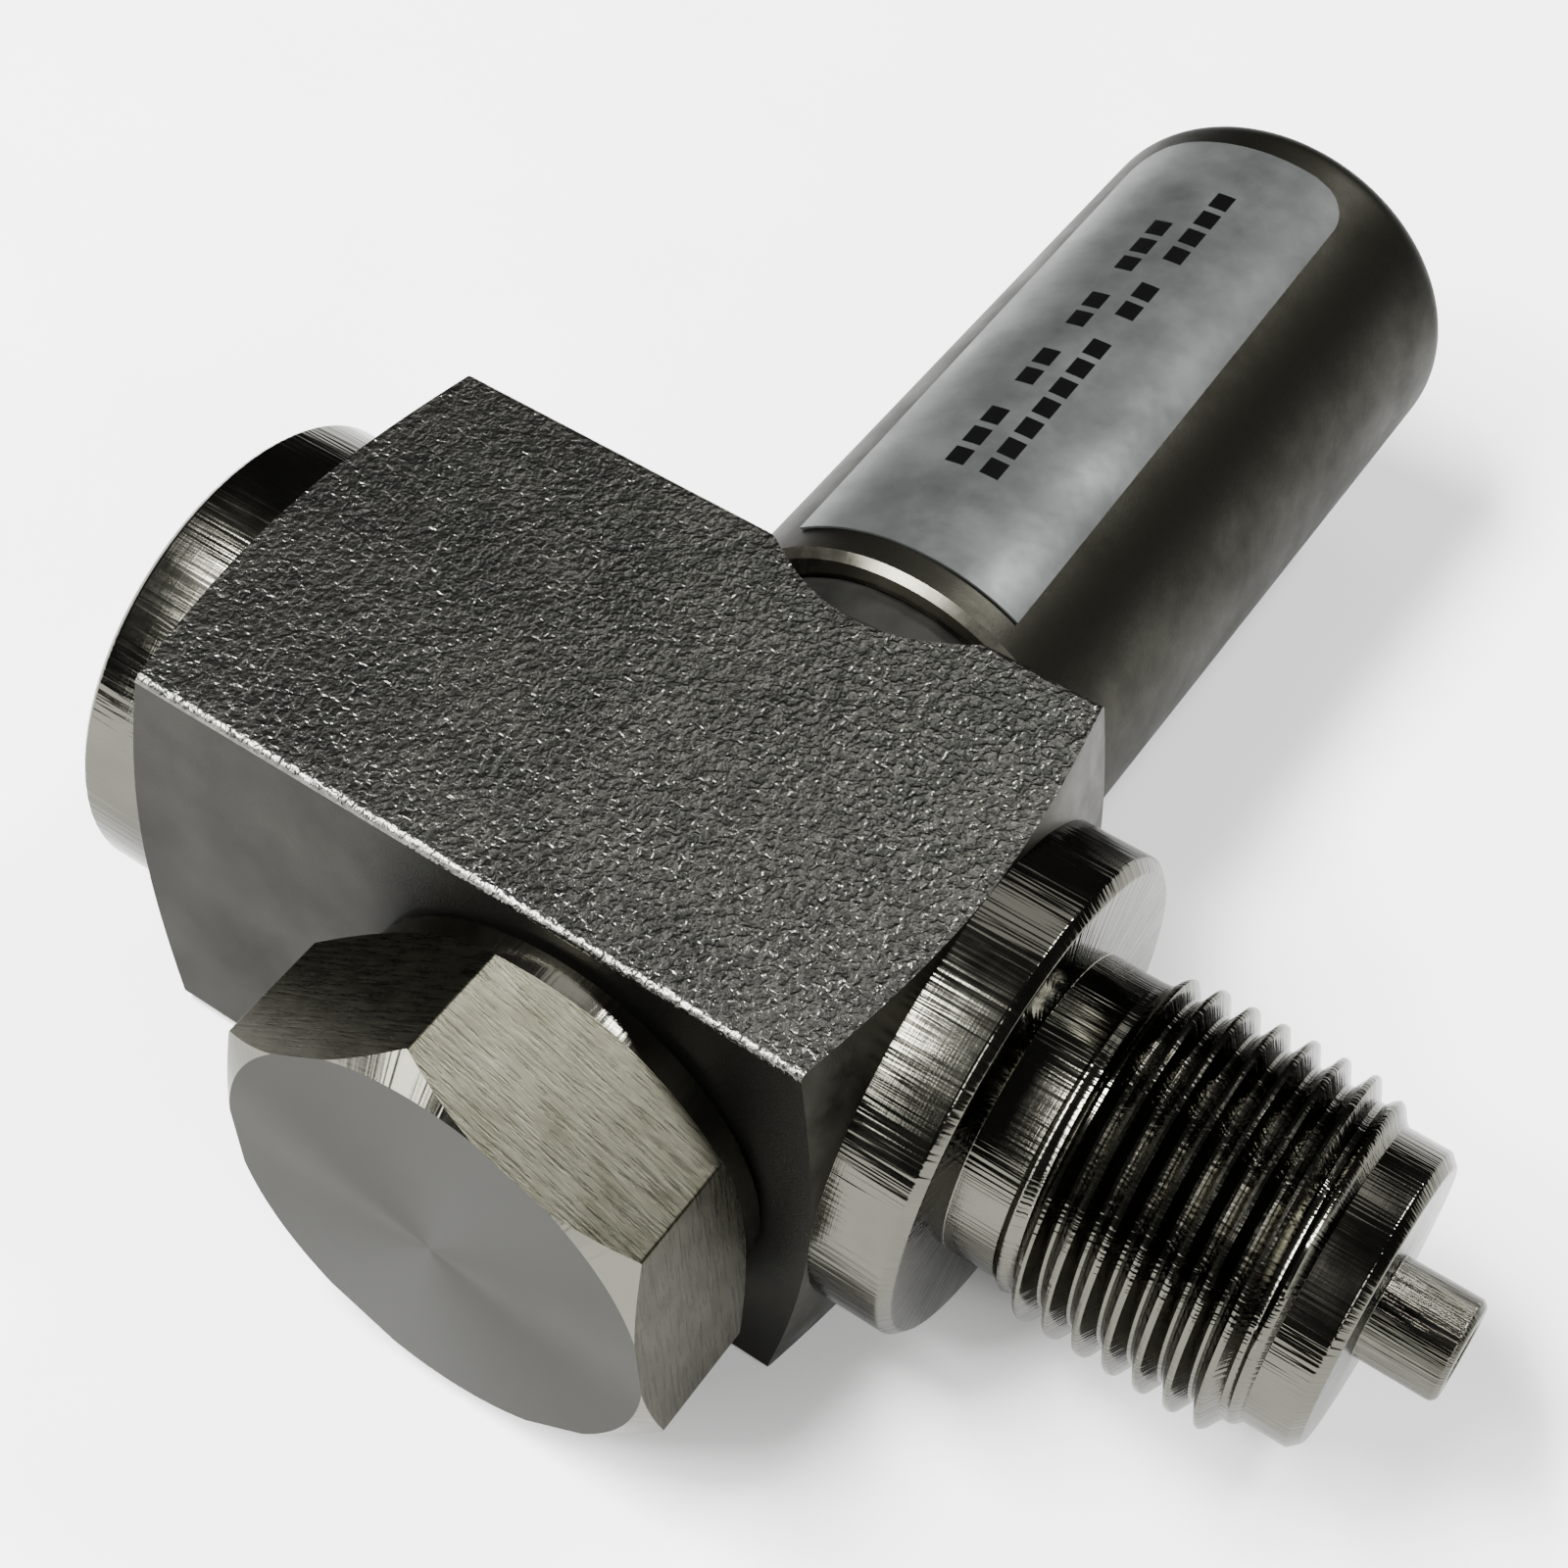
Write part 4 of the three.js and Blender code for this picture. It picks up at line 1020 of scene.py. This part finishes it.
    def cross_tool(self) -> bpy.types.Object:
        """Return the slanted drill from the inlet bore to under the seat."""
        reach = self.inlet_end + self.inlet
        slant = np.radians(self.cross_degrees)
        length = (reach / np.tan(slant)) / np.cos(slant)
        drill = [(0.0, -length), (self.cross, -length), (self.cross, 0.0), (0.0, 0.0)]
        grid = revolve(drill, Axis.VALVE, 40)
        x, y = grid[..., 0].copy(), grid[..., 1].copy()
        grid[..., 0] = x * np.cos(slant) + y * np.sin(slant) + reach * MM
        slanted = -x * np.sin(slant) + y * np.cos(slant)
        grid[..., 1] = np.maximum(slanted, self.cross_low * MM)
        return mesh_of("cross_tool", [grid])

    def paint(self, piece: bpy.types.Object) -> None:
        """Give each region of the body its finish by where it lies and faces."""
        centres, normals = polygon_facts(piece.data)
        x, y, z = centres.T
        radius = np.hypot(y, z)
        in_block = (x > self.block_left - 1.7) & (x < self.block_right + 1.7)
        outside = np.maximum(abs(y), abs(z)) > self.half_bar - self.edge_round - 0.01
        faces_out = np.abs(normals[:, 0]) < 0.2
        forged = in_block & outside & faces_out & (np.abs(normals[:, 2]) > 0.15)
        blasted = in_block & outside & faces_out & ~forged
        bored = (radius < 13.0) & in_block & ~forged & ~blasted
        cone = in_block & (np.abs(normals[:, 0]) > 0.9) & (radius > self.boss - 0.1)
        index = np.full(len(x), 2, np.int32)
        index[forged], index[blasted], index[bored], index[cone] = 0, 1, 4, 3
        assign(piece, index)

    def build(self) -> None:
        """Build, machine and dress the body."""
        piece = self.skin()
        self.machine(piece)
        materials = [
            ForgedSkin().build(), BlastedFace().build(),
            TurnedSteel("turned_body", Axis.MAIN).build(),
            TurnedSteel(
                "shoulder_cone", Axis.MAIN, 0.035, 0.38, 0.000005, 0.000004
            ).build(),
            TurnedSteel("bored_steel", Axis.VALVE, 0.035, 0.42).build(),
        ]
        finish_piece(piece, ["body"], materials)
        self.paint(piece)
        sharpen(piece)


@dataclass
class HexPlug:
    """Hexagon plug that closes the front of the valve bore."""

    across_flats: float = 27.0
    turn_degrees: float = 7.0
    front: float = -26.7
    hex_rear: float = -16.95
    flange_rear: float = -15.35
    face: float = 13.7
    flange: float = 13.3
    front_chamfer: float = 36.0
    rear_chamfer: float = 30.0
    corner_round: float = 0.18
    seal_depth: float = 1.0
    seal_outer: float = 12.55
    undercut: float = 9.5
    shank: float = 10.4
    shank_end: float = -8.35
    hollow: float = 6.5
    hollow_depth: float = 11.0

    def columns(self) -> tuple[np.ndarray, np.ndarray]:
        """Return the angles and reach of the hexagon's outline.

        Formula: within each sixth the flat lies at half the flats / cos b, for
        b from -30 to 30 degrees, and b has a step where the reach equals the
        face's radius. Near a corner the reach is held a little short of it.
        """
        half = self.across_flats / 2
        meet = np.arccos(half / self.face)
        edge = np.pi / 6
        side = np.concatenate([
            np.linspace(0.0, meet, 6), np.linspace(meet, edge, 16)[1:],
            edge - np.array([0.003, 0.006, 0.010, 0.016]),
        ])
        side = np.unique(np.round(side, 9))
        b = np.concatenate([-side[::-1], side[1:]])[:-1]
        reach = half / np.cos(b)
        corner = half / np.cos(edge)
        soft = corner - self.corner_round * 0.15
        reach = soft - np.log1p(np.exp((soft - reach) / 0.012)) * 0.012
        angles = np.concatenate([b + k * np.pi / 3 for k in range(6)])
        reach = np.tile(reach, 6)
        start = np.radians(90.0 + self.turn_degrees) + np.pi / 6
        return np.append(angles, angles[0] + TURN) + start, np.append(reach, reach[0])

    def build(self) -> None:
        """Build and dress the plug."""
        angle, reach = self.columns()
        face = np.minimum(reach, self.face)
        past_face = np.clip(reach - self.face, 0, None)
        front_rise = past_face * np.tan(np.radians(self.front_chamfer))
        rear_rise = (reach - self.flange) * np.tan(np.radians(self.rear_chamfer))
        start, end = self.front + front_rise, self.hex_rear - rear_rise
        rows = [(face * t, self.front) for t in (0.0, 0.25, 0.5, 0.75, 0.97, 1.0)]
        rows += [((face + reach) / 2, self.front + front_rise / 2), (reach, start)]
        shares = (0.02, 0.25, 0.5, 0.75, 0.98, 1.0)
        rows += [(reach, start + (end - start) * t) for t in shares]
        rows += [(self.flange, self.hex_rear)]
        back = rounded([
            (self.flange, self.hex_rear), (self.flange, self.flange_rear),
            (self.seal_outer, self.flange_rear),
            (self.seal_outer, self.flange_rear - self.seal_depth),
            (self.undercut, self.flange_rear - self.seal_depth),
            (self.undercut, self.flange_rear + 2.2), (self.shank, self.flange_rear + 2.3),
            (self.shank, self.shank_end - 1.0), (self.shank - 1.0, self.shank_end),
            (self.hollow, self.shank_end),
            (self.hollow, self.shank_end - self.hollow_depth),
            (0.0, self.shank_end - self.hollow_depth),
        ])
        radius, along = stack_rows([*rows, *back[1:]], len(face))
        radius[:, -1], along[:, -1] = radius[:, 0], along[:, 0]
        closed = angle.copy()
        closed[-1] = closed[0]
        grid = place(along, radius * np.cos(closed), radius * np.sin(closed), Axis.VALVE)
        piece = mesh_of("hex_plug_steel", [grid])
        materials = [
            MilledFlats().build(), FacedEnd().build(),
            TurnedSteel(
                "turned_plug", Axis.VALVE, 0.09, 0.16, 0.000004, 0.00002
            ).build(),
        ]
        finish_piece(piece, ["hex_plug"], materials)
        centres, normals = polygon_facts(piece.data)
        index = np.full(len(centres), 2, np.int32)
        on_hex = (centres[:, 1] < self.hex_rear) & (np.abs(normals[:, 1]) < 0.1)
        index[on_hex & (np.hypot(centres[:, 0], centres[:, 2]) > self.flange)] = 0
        index[(normals[:, 1] < -0.98) & (centres[:, 1] < self.front + 0.05)] = 1
        assign(piece, index)
        sharpen(piece, 20.0)


@dataclass
class BonnetCap:
    """Long cap over the spring housing."""

    radius: float = 13.0
    bore: float = 11.3
    start: float = 17.9
    end: float = 68.5
    end_wall: float = 2.0
    rounding: float = 2.2
    lead: float = 0.5
    sides: int = 160

    def build(self) -> None:
        """Build and dress the cap."""
        a = np.linspace(0.0, np.pi / 2, 13)
        arc = np.stack([
            self.radius - self.rounding * (1 - np.cos(a)),
            self.end - self.rounding * (1 - np.sin(a)),
        ], axis=-1)
        inner_end = self.end - self.end_wall
        profile = [
            (self.bore, inner_end - self.rounding / 2), (self.bore, self.start),
            (self.radius - self.lead, self.start), (self.radius, self.start + self.lead),
            (self.radius, self.start + self.lead + 0.4),
            (self.radius, self.end - self.rounding - 0.4), *map(tuple, arc),
            (4.0, self.end), (0.0, self.end), (0.0, inner_end),
            (self.bore - self.rounding / 2, inner_end),
            (self.bore, inner_end - self.rounding / 2),
        ]
        piece = mesh_of("bonnet_cap_steel", [revolve(profile, Axis.VALVE, self.sides)])
        materials = [
            SatinCap().build(),
            # Painted highlight: the lead chamfer is coloured far lighter than the cap, so
            # that it shows as a bright ring.
            TurnedSteel(
                "cap_lead_painted_highlight", Axis.VALVE, 0.20, 0.25, 0.000003, 0.000003, 0.07
            ).build(),
        ]
        finish_piece(piece, ["bonnet_cap"], materials)
        centres, _ = polygon_facts(piece.data)
        # Faces on the lead chamfer take the painted highlight colour.
        assign(piece, centres[:, 1] < self.start + self.lead)
        sharpen(piece, 32.0)


@dataclass
class PressureLabel:
    """Thin film wrapped round the cap, a little askew."""

    inner: float = 13.05
    thickness: float = 0.15
    start: float = 20.2
    end: float = 64.5
    from_degrees: float = 61.0
    to_degrees: float = 130.0
    skew_degrees: float = 4.8
    corner: float = 3.0
    across: int = 40
    along: int = 60

    def build(self) -> None:
        """Build the film.

        Formula: the outline at distance d from the far end is drawn in by
        corner - sqrt(corner^2 - (corner - d)^2) on both sides. Width wraps
        round the cap at a fixed radius, and turns by the skew along its length.
        """
        v = np.linspace(0.0, 1.0, self.along + 1)
        far = self.corner / round(self.end - self.start, 3)
        v = np.sort(np.append(v, 1 - np.linspace(0, far, 14)[1:-1]))
        y = self.start + (self.end - self.start) * v
        near = np.clip(self.corner - (self.end - y), 0.0, self.corner)
        draw_in = self.corner - np.sqrt(self.corner**2 - near**2)
        trim = np.degrees(draw_in / self.inner)[:, None]
        u = np.linspace(0.0, 1.0, self.across + 1)
        low, high = self.from_degrees + trim, self.to_degrees - trim
        angle = np.radians(high + (low - high) * u + self.skew_degrees * v[:, None])
        top, under = (
            place(y[:, None], radius * np.cos(angle), radius * np.sin(angle), Axis.VALVE)
            for radius in (self.inner + self.thickness, self.inner)
        )
        rim = [np.stack([top[:, 0], under[:, 0]]), np.stack([under[:, -1], top[:, -1]]),
               np.stack([under[0], top[0]]), np.stack([top[-1], under[-1]])]
        piece = mesh_of("label_sheet", [top, under[:, ::-1], *rim])
        self.unwrap(piece)
        finish_piece(piece, ["pressure_label"], [PrintedFilm().build()])
        sharpen(piece, 40.0)

    def unwrap(self, piece: bpy.types.Object) -> None:
        """Give the film a UV map: u across its width and v along its length."""
        mesh = piece.data
        loops = np.empty(len(mesh.loops), np.int32)
        mesh.loops.foreach_get("vertex_index", loops)
        x, y, z = vertices_of(mesh).T / MM
        v = (y - self.start) / (self.end - self.start)
        angle = np.degrees(np.arctan2(z - axis_height() / MM, x))
        angle = angle - self.skew_degrees * v
        u = (self.to_degrees - angle) / (self.to_degrees - self.from_degrees)
        layer = mesh.uv_layers.new(name=LABEL_UV)
        layer.uv.foreach_set("vector", np.stack([u, v], axis=-1)[loops].ravel())


@dataclass
class CoilSpring:
    """Compression spring in two halves."""

    start: float = 16.45
    length: float = 32.0
    mean: float = 6.1
    wire: float = 1.2
    active_turns: float = 6.5
    closed_turns: float = 1.0
    face_gap: float = 0.05
    steps_per_turn: int = 48
    wire_sides: int = 16
    stiff_end: float = 4.95
    still_middle: float = 1.05

    def tube(self, first: float, last: float) -> Grid:
        """Return the wire's skin between two turns.

        Formula: the centre line is (mean cos a, rise, mean sin a) for a = 2 pi
        turn, where the rise has one slope in the closed turns and another in
        the active ones. The skin is centre + wire (cos p N + sin p T x N), with
        N pointing off the axis and T along the wire.

        Args:
            first: Turn that the skin starts at.
            last: Turn that it ends at.

        Returns:
            The grid, with a pole at each end.
        """
        turn = np.linspace(first, last, round((last - first) * self.steps_per_turn) + 1)
        closed = 2 * self.wire + self.face_gap
        run = self.length - 2 * (self.wire + self.face_gap)
        pitch = (run - 2 * closed * self.closed_turns) / self.active_turns
        low = np.minimum(turn, self.closed_turns)
        high = np.maximum(turn - self.closed_turns - self.active_turns, 0.0)
        rise = (low + high) * closed + (turn - low - high) * pitch
        slope = np.where((low < self.closed_turns) | (high > 0.0), closed, pitch)
        c, s = np.cos(TURN * turn), np.sin(TURN * turn)
        along = self.start + self.wire + self.face_gap + rise
        centre = np.stack([self.mean * c, along, self.mean * s], axis=-1)
        tangent = np.stack([-self.mean * TURN * s, slope, self.mean * TURN * c], axis=-1)
        tangent /= np.linalg.norm(tangent, axis=-1, keepdims=True)
        outward = np.stack([c, 0.0 * c, s], axis=-1)
        side = np.cross(tangent, outward)
        p = np.arange(self.wire_sides + 1)[:, None] % self.wire_sides
        p = p * (TURN / self.wire_sides)
        skin = centre[:, None] + self.wire * (
            np.cos(p) * outward[:, None] + np.sin(p) * side[:, None]
        )
        poles = [np.broadcast_to(centre[end], skin[:1].shape) for end in (0, -1)]
        rows = np.concatenate([poles[0], skin, poles[1]])
        return place(rows[..., 1], rows[..., 0], rows[..., 2], Axis.VALVE)

    def build(self) -> None:
        """Build both halves of the coil and hide the CAD spring."""
        turns = self.active_turns + 2 * self.closed_turns
        middle = self.start + self.length / 2
        wire = FineGrain("spring_coil", grey(0.10), grey(0.17), 1.0, 0.32).build()
        low = (self.start + self.stiff_end, middle - self.still_middle)
        high = (middle + self.still_middle, self.start + self.length - self.stiff_end)
        half = turns / 2
        for name, span, bodies, bend in (
            ("spring_lower_half", (0.0, half), ("poppet", "valve_body"), low),
            ("spring_upper_half", (half, turns), ("valve_body", "spring_button"), high),
        ):
            piece = mesh_of(name, [self.tube(*span)])
            piece.data.materials.append(wire)
            sharpen(piece, 50.0)
            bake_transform(piece)
            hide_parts("spring")
            LOG.info("%s: %d faces", piece.name, len(piece.data.polygons))


@dataclass
class SmoothedNodes:
    """CAD nodes whose shape is right, dressed or copied with smooth shading."""

    weld_steps: int = 5
    smoothed: tuple[tuple[str, str], ...] = (
        ("spring_housing", "shaded_steel"), ("plug_seal_ring", "epdm"),
    )
    finishes: tuple[tuple[str, FineGrain], ...] = (
        # Painted shade: the housing is coloured near black because it shows only in the
        # shaded gap between cap and body.
        ("shaded_steel", FineGrain(
            "housing_painted_shade", grey(0.011, 0.03), grey(0.022, 0.03), 1.0, 0.6)),
        ("turned_steel", FineGrain("inner_steel", grey(0.34), grey(0.48), 1.0, 0.22)),
        ("spring_steel", FineGrain("spring_wire", grey(0.22), grey(0.34), 1.0, 0.3)),
        ("epdm", FineGrain("rubber", grey(0.010), grey(0.022), 0.0, 0.62, 5000.0)),
        ("ptfe", FineGrain(
            "seat_polymer", grey(0.72, 0.02), grey(0.80, 0.02), 0.0, 0.4)),
    )

    def slots(self) -> dict[str, str]:
        """Return the record's slot for each CAD node."""
        parts = frame["record"]["subparts"]
        return {part["node"]: part["material_slot"] for part in parts}

    def copy_of(self, node: str) -> bpy.types.Object:
        """Return a welded, smooth-shaded copy of a CAD node's mesh."""
        source = frame["nodes"][node].data
        points = vertices_of(source).astype(float)
        corners = np.array([p.vertices[:] for p in source.polygons])
        first, welded = weld(points, self.weld_steps)
        mesh = bpy.data.meshes.new(f"{node}_smooth")
        mesh.from_pydata(points[first].tolist(), [], welded[corners].tolist())
        mesh.validate()
        return link_new(f"{node}_smooth", mesh)

    def build(self, replaced: set[str]) -> None:
        """Dress every CAD node that no new piece stands for.

        Args:
            replaced: Nodes that already have a new piece.
        """
        materials = {key: finish.build() for key, finish in self.finishes}
        slots, smoothed = self.slots(), dict(self.smoothed)
        for node, source in frame["nodes"].items():
            if node in replaced:
                continue
            slot = slots[node]
            if node in smoothed:
                piece = self.copy_of(node)
                finish_piece(piece, [node], [materials[smoothed[node]]])
                sharpen(piece, 32.0)
                continue
            source.data.materials.clear()
            source.data.materials.append(materials[slot])
            LOG.info("%s: dressed as %s", node, slot)


# --------------------------------------------------------------------- scene


@dataclass(frozen=True)
class Lamp:
    """A rectangular soft light that faces the valve."""

    name: str
    at: tuple[float, float, float]
    size: tuple[float, float]
    power: float
    target: tuple[float, float, float] = (0.0, 0.02, 0.015)

    def hang(self) -> None:
        """Hang the light."""
        data = bpy.data.lights.new(self.name, "AREA")
        data.shape = "RECTANGLE"
        data.size, data.size_y = self.size
        data.energy = self.power
        made = link_new(self.name, data)
        aim = Vector(np.array(self.target) - np.array(self.at))
        made.location = self.at
        made.rotation_euler = aim.to_track_quat("-Z", "Y").to_euler()


@dataclass
class Studio:
    """Floor, lights and camera."""

    floor_half: float = 6.0
    world_tone: float = 0.07
    camera_at: tuple[float, float, float] = (0.05211, -0.08647, 0.15233)
    camera_turn: tuple[float, float, float] = (40.305, -1.2, 35.648)
    lens: float = 68.02
    shift: tuple[float, float] = (0.10, -0.05)
    lamps: tuple[Lamp, ...] = (
        Lamp("overhead_strip", (-0.26, -0.17, 0.66), (0.32, 0.13), 21.0),
        Lamp("rear_softbox", (0.22, 0.46, 0.68), (0.14, 0.12), 8.0),
        Lamp("rear_glow", (-0.14, 0.48, 0.70), (0.30, 0.30), 0.7),
        Lamp("upper_front_strip", (-0.26, -0.40, 0.58), (0.26, 0.13), 10.0),
        Lamp("front_strip", (-0.28, -0.62, 0.42), (0.30, 0.10), 2.5),
        Lamp("low_front_strip", (-0.42, -0.86, 0.12), (0.20, 0.14), 2.0),
        Lamp("floor_light", (0.68, -0.32, 0.52), (0.35, 0.35), 7.0),
    )

    def floor(self) -> None:
        """Lay a wide pale floor just under the valve."""
        low = min(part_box(node)[0].z for node in frame["nodes"])
        side = self.floor_half
        mesh = bpy.data.meshes.new("floor")
        signs = ((-1, -1), (1, -1), (1, 1), (-1, 1))
        corners = [(x * side, y * side, low) for x, y in signs]
        mesh.from_pydata(corners, [], [(0, 1, 2, 3)])
        made = link_new("floor", mesh)
        n = Nodes("pale_floor")
        speckle = n.noise(n.coordinates(), 60.0, 3.0)
        mesh.materials.append(n.dress(
            Base_Color=n.ramp(speckle, [(0.3, grey(0.86)), (0.7, grey(0.9))]),
            Roughness=0.9,
        ))

    def lights(self) -> None:
        """Set the dim room and the soft lights."""
        world = bpy.data.worlds.new("room")
        world.use_nodes = True
        ground = world.node_tree.nodes["Background"]
        ground.inputs["Color"].default_value = grey(self.world_tone)
        ground.inputs["Strength"].default_value = 1.0
        bpy.context.scene.world = world
        for lamp in self.lamps:
            lamp.hang()

    def camera(self) -> None:
        """Place the camera."""
        data = bpy.data.cameras.new("view")
        data.sensor_width = 36.0
        data.lens = self.lens
        data.shift_x, data.shift_y = self.shift
        data.clip_start, data.clip_end = 0.005, 20.0
        made = link_new("view", data)
        made.location = self.camera_at
        made.rotation_euler = tuple(np.radians(self.camera_turn))
        bpy.context.scene.camera = made

    def build(self) -> None:
        """Set up the whole studio."""
        self.floor()
        self.lights()
        self.camera()


def main() -> None:
    """Build the valve and its studio in order."""
    logging.basicConfig(level=logging.INFO, format="%(message)s")
    Studio().build()
    makers: list[Callable[[], None]] = [
        ValveBody().build, HexPlug().build, BonnetCap().build, PressureLabel().build,
        CoilSpring().build,
    ]
    for make in makers:
        make()
    SmoothedNodes().build({"body", "hex_plug", "bonnet_cap", "pressure_label", "spring"})


if __name__ == "__main__":
    main()
